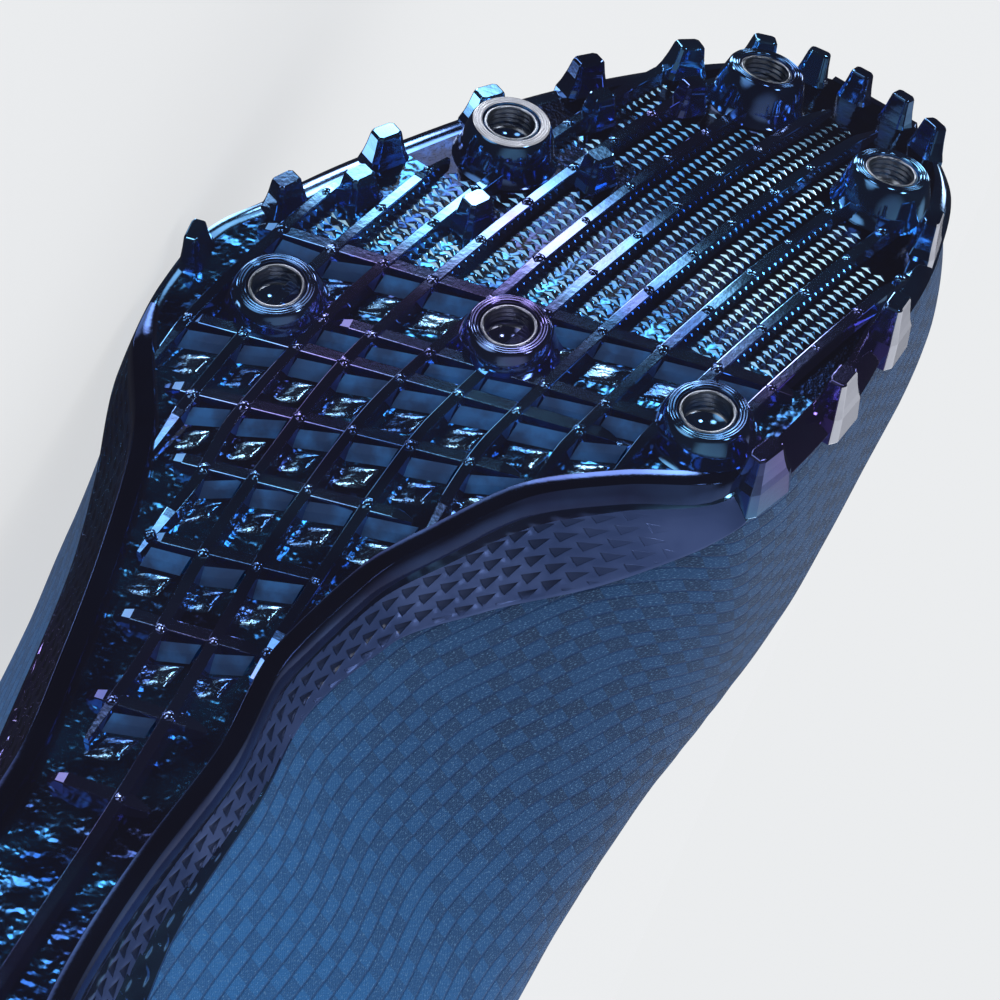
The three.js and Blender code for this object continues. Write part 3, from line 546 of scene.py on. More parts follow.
# The plate's shell: under the foot and up the flange on both sides
plate = {
    "flange": 15.0, "lip": 0.9, "underColumns": 32, "flangeColumns": 26, "rimColumns": 5, "waistEnd": 0.76,
    "innerEnd": 0.69, "outerEnd": 0.6, "patternEnd": 0.665, "beadEnd": 0.48, "beadShare": 0.62,
    "pitDepth": 0.2, "bumpPitch": 2.7, "bumpHeight": 0.5,
}
flangeRows = np.array([
    [0, 1.4, 1.4], [0.1, 1.35, 1.3], [0.29, 0.75, 0.95], [0.37, 0.5, 0.85], [0.43, 0.42, 0.8],
    [0.49, 0.41, 0.82], [0.54, 0.46, 0.84], [0.585, 0.55, 0.6], [0.62, 0.6, 0.1], [0.655, 0.5, 0.1],
    [0.69, 0.25, 0.1], [0.73, 0.1, 0.1], [1, 0.1, 0.1],
])


# Stations in spans of start, end and count, each span starting where the last one ends
def joinSpans(*spans):
    return np.concatenate([np.linspace(*span)[int(i > 0):] for i, span in enumerate(spans)])


def plateStations():
    return joinSpans((0, 0.06, 22), (0.06, 0.4, 170), (0.4, 0.71, 190), (0.71, 0.94, 60), (0.94, 1, 26))


def ramp(value, width):
    return np.clip(value / width, 0, 1)


# How deep the flange is pressed in (or bulges out, below 0) along x and up from the foot's edge
def flangePattern(x, up, top, side):
    row = np.floor(up / pits["high"])
    s = np.mod(x / pits["long"] + 0.5 * row, 1.0)
    t = np.mod(up / pits["high"], 1.0)
    inside = np.minimum(0.44 * (1 - s) * 1.12 - np.abs(t - 0.5), (s - 0.08) * 0.8)
    pit = np.clip(inside * 5.0, 0, 1) * plate["pitDepth"]
    wave = math.pi / plate["bumpPitch"]
    bumps = -plate["bumpHeight"] * np.clip(np.sin(wave * x) * np.sin(wave * up * 1.2), -0.3, 1)
    at = x / length
    reach = plate["beadShare"] * ramp(plate["beadEnd"] - at, 0.2)
    beaded = ramp(up / np.maximum(top, 0.1) - 1 + reach, 0.06)
    smooth = ramp(plate["patternEnd"] - at, 0.05) * ramp(top - up - 0.5, 0.7) * ramp(up - 0.7, 0.8)
    if side < 0:
        smooth = smooth * ramp(plate["outerEnd"] - at, 0.03)
    return (pit * (1 - beaded) + bumps * beaded) * smooth, (1 - beaded) * smooth, beaded


def flangeSide(at, side):
    y, z = sideLine(at, side)
    flange = smoothCurve(at, flangeRows[:, 0], flangeRows[:, 1 if side > 0 else 2])
    top = soleZ(at) + shoe["plateThickness"] + np.maximum(flange * plate["flange"], plate["lip"])
    stop = arcWhere(y, z, z - top[:, None])
    lines = evenSteps(y, z, np.zeros(len(at)), stop, plate["flangeColumns"])
    return sheetGrid(at, lines[:, :, 0], lines[:, :, 1]), lines[:, :, 2], stop


# Both flanges and the strip between them under the foot, with a wall round the heel's and the toe's end
def makeShell():
    at = plateStations()
    outset = shoe["pieceGap"] + shoe["plateThickness"]
    halves, rises, pitted, beaded = {}, {}, {}, {}
    for side in (1, -1):
        grid, rises[side], stop = flangeSide(at, side)
        normal = outwards(grid, side)
        pressed, pitted[side], beaded[side] = flangePattern(grid[:, :, 0], rises[side], stop[:, None], side)
        halves[side] = grid + normal * (outset - pressed)[:, :, None]
        down = np.array([0, 0, -1.0])
        corner = (normal[:, 0] + down) / (1 + normal[:, :1] @ down)
        halves[side][:, 0] = grid[:, 0] + np.clip(corner, -1.6, 1.6) * outset
    across = np.linspace(0, 1, plate["underColumns"] + 2)[1:-1][None, :, None]
    under = halves[1][:, :1] * (1 - across) + halves[-1][:, :1] * across
    under[:, :, 2] = soleZ(at)[:, None]
    halves[1][:, 0, 2], halves[-1][:, 0, 2] = soleZ(at), soleZ(at)
    grid = np.concatenate([halves[1][:, ::-1], under, halves[-1]], axis=1)
    rows, columns = grid.shape[:2]
    firstUnder, lastUnder = plate["flangeColumns"] - 1, columns - plate["flangeColumns"]
    points, faces = [grid.reshape(-1, 3)], [gridFaces(rows, columns, flip=True)]
    for end, x in ((0, -outset), (rows - 1, length + outset)):
        wall = grid[end].copy()
        wall[:, 0] = x
        front = wall.copy()
        front[:, 2] = wall[0, 2]
        front[:firstUnder, 1] = wall[firstUnder, 1]
        front[lastUnder + 1:, 1] = wall[lastUnder, 1]
        start = sum(len(p) for p in points)
        points += [grid[end], wall, front]
        faces.append(gridFaces(3, columns, start, flip=end > 0))
    flat = np.zeros((rows, plate["underColumns"]))
    rise, pitMask, beads = (np.concatenate([value[1][:, ::-1], flat, value[-1]], axis=1)
                            for value in (rises, pitted, beaded))
    rise, pitMask = (np.concatenate([value, np.repeat(value[[0, -1]], 3, axis=0)]).ravel()
                     for value in (rise, pitMask))
    points = np.concatenate(points)
    uv = np.stack([points[:, 0] / 10, rise / 10], axis=1)
    shell = addMesh("plate_shell", points, np.concatenate(faces), plated, uv=uv)
    pitted = shell.data.attributes.new("pitted", "FLOAT", "POINT")
    pitted.data.foreach_set("value", pitMask.astype(np.float32))
    for material in (flangeSatin, platedFloor, flangeGloss, waistFoil):
        shell.data.materials.append(material)
    satinSlot, floorSlot, glossSlot, waistSlot = 1, 2, 3, 4
    station, column = np.divmod(np.arange((rows - 1) * (columns - 1)), columns - 1)
    inner = (column < firstUnder - plate["rimColumns"]) & (at[station] < plate["innerEnd"])
    outer = (column >= lastUnder + plate["rimColumns"]) & (at[station] < plate["outerEnd"])
    below = (column > firstUnder) & (column < lastUnder - 1)
    slots = np.zeros(len(shell.data.polygons), int)
    inWaist, plain = at[station] < plate["waistEnd"], beads[station, column] <= 0.5
    slots[:len(station)] = np.select([below & inWaist, below, inner & plain, inner | outer],
                                     [waistSlot, floorSlot, satinSlot, glossSlot])
    shell.data.polygons.foreach_set("material_index", slots)
    mergeDoubles(shell)
    thicken(shell, shoe["plateThickness"])
    return shell


shell = makeShell()
print("plate shell made", len(shell.data.polygons))

# Ribs and ridges: bars swept along paths by one tree, root up and tip down
ribs = {
    "width": 2.5, "tipWidth": 1.6, "height": 2.1, "root": 0.8, "round": 0.15, "crossWidth": 2.4,
    "crossTipWidth": 1.9, "crossHeight": 1.9, "ridgeWidth": 4.2, "ridgeTipWidth": 2.6, "ridgeHeight": 2.6,
    "ridgeHeel": 0.012, "ridgeInner": 0.7, "ridgeOuter": 0.6, "ridgeBulge": 3.2, "fade": 7.0,
    "fadedEnd": 0.35, "crossFade": 2.0, "step": 1.2,
}
ribRows = [
    [(0.735, -0.514), (0.64, -0.514), (0.572, -0.504)],
    [(0.775, -0.43), (0.63, -0.428), (0.568, -0.412), (0.535, -0.4)],
    [(0.94, -0.335), (0.86, -0.342), (0.66, -0.352), (0.572, -0.338), (0.53, -0.308), (0.49, -0.3)],
    [(0.945, -0.268), (0.64, -0.276), (0.56, -0.25), (0.52, -0.23), (0.44, -0.17), (0.4, -0.15)],
    [(0.95, -0.185), (0.7, -0.185), (0.63, -0.192), (0.55, -0.166), (0.466, -0.108), (0.35, -0.02), (0.2, 0.09),
     (0.06, 0.15)],
    [(0.97, -0.105), (0.63, -0.107), (0.58, -0.091), (0.52, -0.06), (0.47, -0.036)],
    [(0.975, -0.022), (0.64, -0.022), (0.572, 0.01)],
    [(0.965, 0.065), (0.66, 0.07), (0.628, 0.075)],
    [(0.935, 0.15), (0.7, 0.151), (0.657, 0.152)],
    [(0.875, 0.233), (0.69, 0.233)],
]
crossRows = [
    (0.728, -0.55, 0.27, 0.33), (0.682, -0.34, 0.2, 0.335), (0.6615, -0.52, 0.12, 0.35),
    (0.6235, -0.46, 0.05, 0.38), (0.5815, -0.375, -0.02, 0.37), (0.536, -0.31, -0.04, 0.38),
    (0.488, -0.26, -0.05, 0.35), (0.44, -0.2, -0.03, 0.33), (0.39, -0.15, 0.0, 0.31),
]


def newTree(name, sockets):
    tree = bpy.data.node_groups.new(name, "GeometryNodeTree")
    tree.interface.new_socket("Geometry", in_out="INPUT", socket_type="NodeSocketGeometry")
    for label, kind in sockets:
        tree.interface.new_socket(label, in_out="INPUT", socket_type="NodeSocket" + kind)
    tree.interface.new_socket("Geometry", in_out="OUTPUT", socket_type="NodeSocketGeometry")
    return tree, tree.nodes, tree.links, tree.nodes.new("NodeGroupInput"), tree.nodes.new("NodeGroupOutput")


def endTree(nodes, links, geometry, start, end):
    real = nodes.new("GeometryNodeRealizeInstances")
    dress = nodes.new("GeometryNodeSetMaterial")
    links.new(geometry, real.inputs[0])
    links.new(real.outputs[0], dress.inputs[0])
    links.new(start.outputs["Material"], dress.inputs["Material"])
    links.new(dress.outputs[0], end.inputs[0])


def attributeNode(nodes, name, kind="FLOAT"):
    node = nodes.new("GeometryNodeInputNamedAttribute")
    node.data_type = kind
    node.inputs["Name"].default_value = name
    return node.outputs[0]


def makeBarTree():
    sockets = [(label, "Float") for label in ("Root Width", "Tip Width", "Depth", "Round")]
    tree, nodes, links, start, end = newTree("sweptBar", sockets + [("Material", "Material")])
    path = nodes.new("GeometryNodeMeshToCurve")
    upright = nodes.new("GeometryNodeSetCurveNormal")
    upright.mode = "Z_UP"
    section = nodes.new("GeometryNodeCurvePrimitiveQuadrilateral")
    section.mode = "TRAPEZOID"
    soften = nodes.new("GeometryNodeFilletCurve")
    soften.mode = "POLY"
    soften.inputs["Count"].default_value = 2
    sweep = nodes.new("GeometryNodeCurveToMesh")
    sweep.inputs["Fill Caps"].default_value = True
    links.new(start.outputs["Geometry"], path.inputs[0])
    links.new(path.outputs[0], upright.inputs[0])
    links.new(upright.outputs[0], sweep.inputs["Curve"])
    section.inputs["Offset"].default_value = 0.0
    for label, socket in (("Root Width", "Bottom Width"), ("Tip Width", "Top Width"), ("Depth", "Height")):
        links.new(start.outputs[label], section.inputs[socket])
    links.new(section.outputs[0], soften.inputs[0])
    links.new(start.outputs["Round"], soften.inputs["Radius"])
    links.new(soften.outputs[0], sweep.inputs["Profile Curve"])
    links.new(attributeNode(nodes, "fade"), sweep.inputs["Scale"])
    endTree(nodes, links, sweep.outputs[0], start, end)
    return tree


# Runs a tree on points or paths in the shoe's axes and gives the plain mesh where the shoe lies
def grow(name, tree, points, edges, attributes, **inputs):
    seedMesh = bpy.data.meshes.new(name + "Seed")
    seedMesh.from_pydata((np.asarray(points) / 1000).tolist(), edges, [])
    for label, (kind, values) in attributes.items():
        layer = seedMesh.attributes.new(label, kind, "POINT")
        field = "vector" if kind == "FLOAT_VECTOR" else "value"
        layer.data.foreach_set(field, np.asarray(values, np.float32).ravel())
    seed = linkObject(name + "Seed", seedMesh)
    modifier = seed.modifiers.new("tree", "NODES")
    modifier.node_group = tree
    for item in tree.interface.items_tree:
        key = item.name.replace(" ", "_")
        if item.in_out == "INPUT" and key in inputs:
            modifier[item.identifier] = inputs[key]
    shaped = seed.evaluated_get(bpy.context.evaluated_depsgraph_get())
    mesh = bpy.data.meshes.new_from_object(shaped)
    seed.modifiers.remove(modifier)
    bpy.data.objects.remove(seed)
    mesh.transform(layDown)
    mesh.update()
    mesh.name = name
    mesh.materials.clear()
    mesh.materials.append(inputs["Material"])
    mesh.polygons.foreach_set("material_index", [0] * len(mesh.polygons))
    return linkObject(name, mesh)


def barPath(xs, ys, sink, fade=ribs["fade"]):
    points = np.stack([xs, ys, soleZ(xs / length) - sink], axis=1)
    arc = np.concatenate([[0], np.cumsum(np.linalg.norm(np.diff(points, axis=0), axis=1))])
    ends = np.minimum(arc, arc[-1] - arc)
    return points, np.clip(ribs["fadedEnd"] + (1 - ribs["fadedEnd"]) * ends / fade, ribs["fadedEnd"], 1.0)


def joinPaths(paths):
    points, fades, edges = [], [], []
    for path, fade in paths:
        start = sum(len(p) for p in points)
        edges += [(start + i, start + i + 1) for i in range(len(path) - 1)]
        points.append(path)
        fades.append(fade)
    return np.concatenate(points), edges, {"fade": ("FLOAT", np.concatenate(fades))}


def ribLine(row):
    controls = np.array(sorted(row))
    xs = np.arange(controls[0, 0] * length, controls[-1, 0] * length, ribs["step"])
    return xs, smoothCurve(xs / length, controls[:, 0], controls[:, 1]) * ballWidth


barTree = makeBarTree()


def growBars(name, paths, width, tipWidth, height, material=plated):
    points, edges, attributes = joinPaths(paths)
    bars = grow(name, barTree, points, edges, attributes, Root_Width=width / 1000, Tip_Width=tipWidth / 1000,
                Depth=(height + ribs["root"]) / 1000, Round=ribs["round"] / 1000, Material=material)
    bars.data.polygons.foreach_set("use_smooth", [material is not plated] * len(bars.data.polygons))
    return bars


def middle(height):
    return (height - ribs["root"]) / 2


def crossLine(row):
    at, outer, inner, lean = row
    ys = np.arange(outer * ballWidth, inner * ballWidth, ribs["step"])
    return at * length + lean * ys, ys


ribPaths = [barPath(*ribLine(row), middle(ribs["height"])) for row in ribRows]
lengthRibs = growBars("length_ribs", ribPaths, ribs["width"], ribs["tipWidth"], ribs["height"])
crossPaths = [barPath(*crossLine(row), middle(ribs["crossHeight"]), ribs["crossFade"]) for row in crossRows]
crossRibs = growBars("cross_ribs", crossPaths, ribs["crossWidth"], ribs["crossTipWidth"], ribs["crossHeight"])


# Along the inner edge to the heel, round it and back along the outer edge
def ridgePath():
    heel = ribs["ridgeHeel"]
    inner, outer = np.linspace(ribs["ridgeInner"], heel, 150), np.linspace(heel, ribs["ridgeOuter"], 130)
    edge = shoe["plateThickness"] * 0.4
    innerY, outerY = last("footIn", inner) * ballWidth + edge, last("footOut", outer) * ballWidth - edge
    bend = np.linspace(0, 1, 9)[1:-1]
    bulge = heel * length - ribs["ridgeBulge"] * np.sin(bend * math.pi)
    xs = np.concatenate([inner * length, bulge, outer * length])
    ys = np.concatenate([innerY, innerY[-1] + (outerY[0] - innerY[-1]) * bend, outerY])
    return barPath(xs, ys, middle(ribs["ridgeHeight"]))


ridge = growBars("edge_ridge", [ridgePath()], ribs["ridgeWidth"], ribs["ridgeTipWidth"], ribs["ridgeHeight"],
                 rimPlating)
for piece in (shell, lengthRibs, crossRibs, ridge):
    finishPiece(piece, "spike_plate", slot="spike_plate")
print("ribs and ridge made")

# What stands on the plate over and over: one tree sets a shape at every point
def makeScatterTree():
    tree, nodes, links, start, end = newTree("setOut", [("Shape", "Object"), ("Material", "Material")])
    info = nodes.new("GeometryNodeObjectInfo")
    info.transform_space = "ORIGINAL"
    points = nodes.new("GeometryNodeMeshToPoints")
    setOut = nodes.new("GeometryNodeInstanceOnPoints")
    links.new(start.outputs["Geometry"], points.inputs["Mesh"])
    links.new(points.outputs[0], setOut.inputs["Points"])
    links.new(start.outputs["Shape"], info.inputs["Object"])
    links.new(info.outputs["Geometry"], setOut.inputs["Instance"])
    links.new(attributeNode(nodes, "turned", "FLOAT_VECTOR"), setOut.inputs["Rotation"])
    links.new(attributeNode(nodes, "sized", "FLOAT_VECTOR"), setOut.inputs["Scale"])
    endTree(nodes, links, setOut.outputs[0], start, end)
    return tree


scatterTree = makeScatterTree()


def soleLean(at):
    return -np.arctan2(soleZ(at + 0.01) - soleZ(at - 0.01), 0.02 * length)


# rows hold x, y, height over the sole, turn in degrees, and the three sizes
def setOut(name, shapePoints, shapeFaces, rows, material, smooth=False):
    rows = np.asarray(rows, float)
    mesh = bpy.data.meshes.new(name + "Shape")
    corners = (np.asarray(shapePoints) / 1000).tolist()
    mesh.from_pydata(corners, [], [list(map(int, face)) for face in shapeFaces])
    mesh.polygons.foreach_set("use_smooth", [smooth] * len(mesh.polygons))
    shape = linkObject(name + "Shape", mesh)
    at = rows[:, 0] / length
    points = np.stack([rows[:, 0], rows[:, 1], soleZ(at) + rows[:, 2]], axis=1)
    turned = [(Matrix.Rotation(lean, 3, "Y") @ Matrix.Rotation(math.radians(by), 3, "Z")).to_euler()
              for lean, by in zip(soleLean(at), rows[:, 3])]
    attributes = {"turned": ("FLOAT_VECTOR", turned), "sized": ("FLOAT_VECTOR", rows[:, 4:7])}
    obj = grow(name, scatterTree, points, [], attributes, Shape=shape, Material=material)
    bpy.data.objects.remove(shape)
    return obj


# Closed shape through rings of corners, from root to tip
def ringShape(rings):
    count = len(rings[0])
    points = [p for ring in rings for p in ring]
    faces = [tuple(i * count + k for k in (j, (j + 1) % count, (j + 1) % count + count, j + count))
             for i in range(len(rings) - 1) for j in range(count)]
    faces.append(tuple(range(count))[::-1])
    faces.append(tuple((len(rings) - 1) * count + j for j in range(count)))
    return points, [face[::-1] for face in faces]


def roundedBlock(levels, cut=0.3):
    near = 1 - cut
    corners = [(1, near), (near, 1), (-near, 1), (-1, near), (-1, -near), (-near, -1), (near, -1), (1, -near)]
    return ringShape([[(0.5 * share * x, 0.5 * share * y, z) for x, y in corners] for share, z in levels])


# Teeth: heights, the three teeth given a painted highlight on their inner faces with how near and how squarely
# those faces must lie, and how far the edges are worn
teeth = {
    "height": 5.2, "studHeight": 5.0, "pale": (11, 12, 13), "highlightReach": 6.0, "highlightFacing": 0.85,
    "worn": 0.15,
}
toothRows = [
    (0.639, -0.592, -20, 7, 3.6), (0.692, -0.555, 14, 6.4, 4.6), (0.751, -0.51, 18, 6.8, 4.8),
    (0.812, -0.457, 20, 7, 4.8), (0.873, -0.402, 22, 7.4, 4.8), (0.93, -0.327, 30, 7.2, 4.8),
    (0.973, -0.265, 50, 6, 4.4), (0.99, -0.19, 76, 5.6, 4), (0.996, -0.112, 88, 5.2, 4),
    (0.996, -0.03, 94, 5.2, 4), (0.984, 0.052, 112, 6, 4), (0.905, 0.2, -20, 8, 4.4),
    (0.833, 0.278, -10, 7.4, 4.6), (0.77, 0.31, -6, 7.6, 4.6), (0.706, 0.312, 6, 8.4, 4.6),
]
studRows = [
    (0.72, -0.483, 14, 6.6, 5), (0.745, -0.317, 14, 6.6, 5), (0.815, -0.245, 14, 6.6, 5),
    (0.855, -0.334, 14, 6, 4.6), (0.903, -0.259, 20, 6, 4.6),
]
toothShape = roundedBlock([(1.12, 0.8), (1.0, 0), (0.86, -0.22), (0.72, -0.55), (0.6, -0.93), (0.53, -1.0)])
toothSizes = [(at * length, across * ballWidth, 0, turnBy, long, wide, height)
              for rows, height in ((toothRows, teeth["height"]), (studRows, teeth["studHeight"]))
              for at, across, turnBy, long, wide in rows]
plateTeeth = setOut("plate_teeth", *toothShape, toothSizes, plated)

# The faces of three teeth that look to the inner side are painted pale as a highlight, standing in for the
# light they would mirror
plateTeeth.data.materials.append(paintedHighlight)
innerWay = Vector(turn @ np.array([0.0, 1.0, -0.05])).normalized()
highlightSpots = [toWorld([(*toothSizes[i][:2], 0)])[0] for i in teeth["pale"]]
for face in plateTeeth.data.polygons:
    away = min(np.hypot(*(np.array(face.center) - spot)[[0, 2]]) for spot in highlightSpots)
    inwards = face.normal.dot(innerWay) > teeth["highlightFacing"]
    face.material_index = int(away < teeth["highlightReach"] / 1000 and inwards)
teethBevel = plateTeeth.modifiers.new("worn edges", "BEVEL")
teethBevel.width, teethBevel.segments = teeth["worn"] / 1000, 2
finishPiece(plateTeeth, "spike_plate", slot="spike_plate")

# Two columns of small fins in every channel of the forefoot
fins = {
    "pitch": 1.5, "long": 1.4, "wide": 2.2, "high": 0.38, "offset": 1.15, "shift": -0.35, "from": 0.735,
    "lean": 0.33, "bossGap": 8.2, "toothGap": 4.0,
}


def finRows():
    rows = []
    kept = [(at * length, across * ballWidth, fins["bossGap"]) for at, across, _ in socketRows]
    kept += [(row[0], row[1], fins["toothGap"]) for row in toothSizes]
    lines = [ribLine(row) for row in ribRows]
    for (xa, ya), (xb, yb) in zip(lines[:-1], lines[1:]):
        low, high = max(xa[0], xb[0], 0), min(xa[-1], xb[-1]) - 1
        for x in np.arange(low, high, fins["pitch"]):
            between = (np.interp(x, xa, ya) + np.interp(x, xb, yb)) / 2
            if x < fins["from"] * length + fins["lean"] * between:
                continue
            for y in (between + fins["shift"] - fins["offset"], between + fins["shift"] + fins["offset"]):
                if all(math.hypot(x - keptX, y - keptY) > gap for keptX, keptY, gap in kept):
                    rows.append((x, y, 0, 0, fins["long"], fins["wide"], fins["high"]))
    return rows


# A wedge with its point up, wide at the heel's end
finShape = (
    [(-0.5, -0.5, 0.3), (-0.5, 0.5, 0.3), (0.5, 0.5, 0.3), (0.5, -0.5, 0.3), (-0.5, -0.5, 0), (-0.5, 0.5, 0),
     (0.5, 0.0, 0), (-0.25, 0, -1)],
    [(4, 7, 6), (5, 6, 7), (4, 5, 7), (0, 1, 5, 4), (1, 2, 6, 5), (0, 4, 6, 3), (2, 3, 6), (0, 3, 2, 1)],
)
channelFins = setOut("channel_fins", *finShape, finRows(), foil)
finishPiece(channelFins, "spike_plate", slot="spike_plate")


# Where a length rib meets a cross row, if it does
def crossing(xs, ys, at, lean):
    gap = xs - (at * length + lean * ys)
    hit = np.nonzero(gap[:-1] * gap[1:] < 0)[0]
    return (xs[hit[0]], ys[hit[0]]) if len(hit) else None


# Small rough knots where the ribs cross, and on in line with the cross rows
def knotRows():
    rows = []
    rng = np.random.default_rng(4)
    further = [(at, -0.6, 0.35, 0.345) for at in (0.765, 0.802, 0.839, 0.876, 0.91)]
    for at, outer, inner, lean in crossRows + further:
        for row in ribRows:
            spot = crossing(*ribLine(row), at, lean)
            if spot and outer - 0.02 < spot[1] / ballWidth < inner + 0.02:
                size = rng.uniform(0.85, 1.15)
                turnBy = rng.uniform(0, 360)
                rows.append((*spot, -ribs["height"] + 0.15, turnBy, 1.9 * size, 1.7 * size, 0.8 * size))
    return rows


def knotShape():
    shape = bmesh.new()
    bmesh.ops.create_icosphere(shape, subdivisions=2, radius=0.5)
    rng = np.random.default_rng(7)
    for vert in shape.verts:
        vert.co *= 1 + rng.uniform(-0.22, 0.22)
    points = [tuple(v.co) for v in shape.verts]
    faces = [[v.index for v in f.verts] for f in shape.faces]
    shape.free()
    return points, faces


knots = setOut("rib_knots", *knotShape(), knotRows(), plated, smooth=True)
finishPiece(knots, "spike_plate", slot="spike_plate")
print("teeth, fins and knots made", len(channelFins.data.polygons), len(knots.data.polygons))


# Sloping facet behind each cross rib of the lattice, and a small wavy floor at the back of the cell
cells = {
    "back": 0.15, "run": 2.4, "waveStart": 0.2, "waveLong": 4.6, "waveHigh": 0.55, "waveAcross": 7,
    "waveAlong": 9,
}


def waveLift(s, t):
    ripple = 0.75 + 0.35 * math.cos(5.2 * t + 2.0) + 0.2 * math.sin(9 * s)
    return cells["waveHigh"] * math.sin(math.pi * t) ** 0.7 * math.sin(math.pi * s) * ripple


def latticeFacets():
    points, faces, waves, waveFaces = [], [], [], []
    lines = [ribLine(row) for row in ribRows]
    shift, run = ribs["width"] / 2 - 0.1, cells["run"]
    back = ribs["crossTipWidth"] / 2 + cells["back"]
    for at, outer, inner, lean in crossRows:
        for lineA, lineB in zip(lines[:-1], lines[1:]):
            spots = crossing(*lineA, at, lean), crossing(*lineB, at, lean)
            if None in spots:
                continue
            (x0, y0), (x1, y1) = (spots[0][0], spots[0][1] + shift), (spots[1][0], spots[1][1] - shift)
            if outer - 0.02 >= y0 / ballWidth or y1 / ballWidth >= inner + 0.02:
                continue
            start = len(points)
            for x, y in ((x0, y0), (x1, y1)):
                for dx, depth in ((0, 1.5), (run * 0.5, 0.85), (run, -0.05), (0, -0.2)):
                    cornerX = x - back - dx
                    points.append((cornerX, y, float(soleZ(cornerX / length)) - depth))
            for face in ((0, 4, 5, 1), (1, 5, 6, 2), (2, 6, 7, 3), (0, 3, 7, 4), (0, 1, 2, 3), (4, 7, 6, 5)):
                faces.append(tuple(start + corner for corner in face))
            startWave = len(waves)
            for s in np.linspace(0, 1, cells["waveAlong"]):
                for t in np.linspace(0, 1, cells["waveAcross"]):
                    x = x0 + (x1 - x0) * t - back - run - cells["waveStart"] - cells["waveLong"] * s
                    z = float(soleZ(x / length)) + 0.05 - waveLift(s, t)
                    waves.append((x, y0 + (y1 - y0) * t, z))
            waveFaces += (gridFaces(cells["waveAlong"], cells["waveAcross"], startWave, flip=True)).tolist()
    return points, faces, waves, waveFaces


facetPoints, facetFaces, wavePoints, waveFaces = latticeFacets()
facets = addMesh("lattice_facets", facetPoints, facetFaces, facetSatin, smooth=False)
mergeDoubles(facets, 0.000001)
wavyFloor = addMesh("lattice_floor", wavePoints, waveFaces, sparkling)
thicken(wavyFloor, 0.4)
for piece in (facets, wavyFloor):
    finishPiece(piece, "spike_plate", slot="spike_plate")


# Bosses and threaded sockets, turned about their own axes
def latheShape(profile, segments):
    turns = [2 * math.pi * k / segments for k in range(segments)]
    points = [(r * math.cos(angle), r * math.sin(angle), z) for r, z in profile for angle in turns]
    faces = []
    for start in range(0, (len(profile) - 1) * segments, segments):
        for k in range(segments):
            n = (k + 1) % segments
            faces.append((start + k, start + n, start + segments + n, start + segments + k))
    return points, faces


# One boss, given by index, has its ring tip painted pale as a highlight
boss = {
    "seat": 5.6, "root": 7.8, "bore": 4.2, "segments": 64, "paintedRingBoss": 1, "grooves": (5.25, 4.85),
    "dark": 3.2,
}
socket = {"outside": 3.95, "bore": 3.4, "length": 4.8, "recess": 0.3, "pitch": 0.8, "depth": 0.28}


# The boss widens to its root, and two fine grooves run round its tip
def bossProfile(height):
    h, root, seat, bore = -height, boss["root"], boss["seat"], boss["bore"]
    profile = [(0.01, 0.5), (root + 0.5, 0.5), (root, 0.05), (root - 0.5, -0.35), (root - 0.95, h * 0.3),
               (root - 1.3, h * 0.6), (seat + 0.25, h + 0.55), (seat, h + 0.2), (seat - 0.25, h + 0.02)]
    for r in boss["grooves"]:
        profile += [(r, h), (r - 0.05, h + 0.05), (r - 0.13, h + 0.05), (r - 0.18, h)]
    profile += [(bore + 0.25, h), (bore + 0.05, h + 0.12), (bore, h + 0.35), (bore, h + 5.3), (0.01, h + 5.3)]
    return profile


def socketProfile(height):
    outside, bore, mouth = socket["outside"], socket["bore"], socket["recess"] - height
    end = mouth + socket["length"]
    floor = end - 0.9
    profile = [(0.01, end), (outside, end), (outside, mouth + 0.1), (outside - 0.1, mouth),
               (bore + 0.12, mouth)]
    z = mouth + 0.15
    while z + socket["pitch"] < floor:
        cut = bore + socket["depth"]
        profile += [(bore, z), (bore, z + 0.18), (cut, z + 0.36), (cut, z + 0.5)]
        z += socket["pitch"]
    return profile + [(bore, floor), (0.01, floor)]


def addTurned(name, profile, x, y, material, second):
    shape = latheShape(profile, boss["segments"])
    piece = setOut(name, *shape, [(x, y, 0, 0, 1, 1, 1)], material, smooth=True)
    mergeDoubles(piece)
    piece.data.materials.append(second)
    return piece


for i, (at, across, height) in enumerate(socketRows):
    x, y = at * length, across * ballWidth
    lean = float(soleLean(np.array(at)))
    axis = Vector(turn @ np.array([math.sin(lean), 0, math.cos(lean)]))
    centre = Vector(toWorld([(x, y, float(soleZ(at)))])[0])
    ring = addTurned("spike_boss_%d" % (i + 1), bossProfile(height), x, y, plated, paintedHighlight)
    # The ring tip of that one boss is painted pale as a highlight, standing in for a mirrored light
    for face in ring.data.polygons:
        onTip = (face.center - centre).dot(axis) < (0.15 - height) / 1000
        face.material_index = int(i == boss["paintedRingBoss"] and onTip)
    finishPiece(ring, "spike_plate", slot="spike_plate")
    thread = addTurned("spike_thread_%d" % (i + 1), socketProfile(height), x, y, darkMetal, plated)
    for face in thread.data.polygons:
        away = face.center - centre
        inBore = (away - axis * away.dot(axis)).length < boss["dark"] / 1000
        face.material_index = int(inBore and away.dot(axis) < 0)
    finishPiece(thread, "spike_socket_%d" % (i + 1), slot="spike_socket")
print("bosses and sockets made")

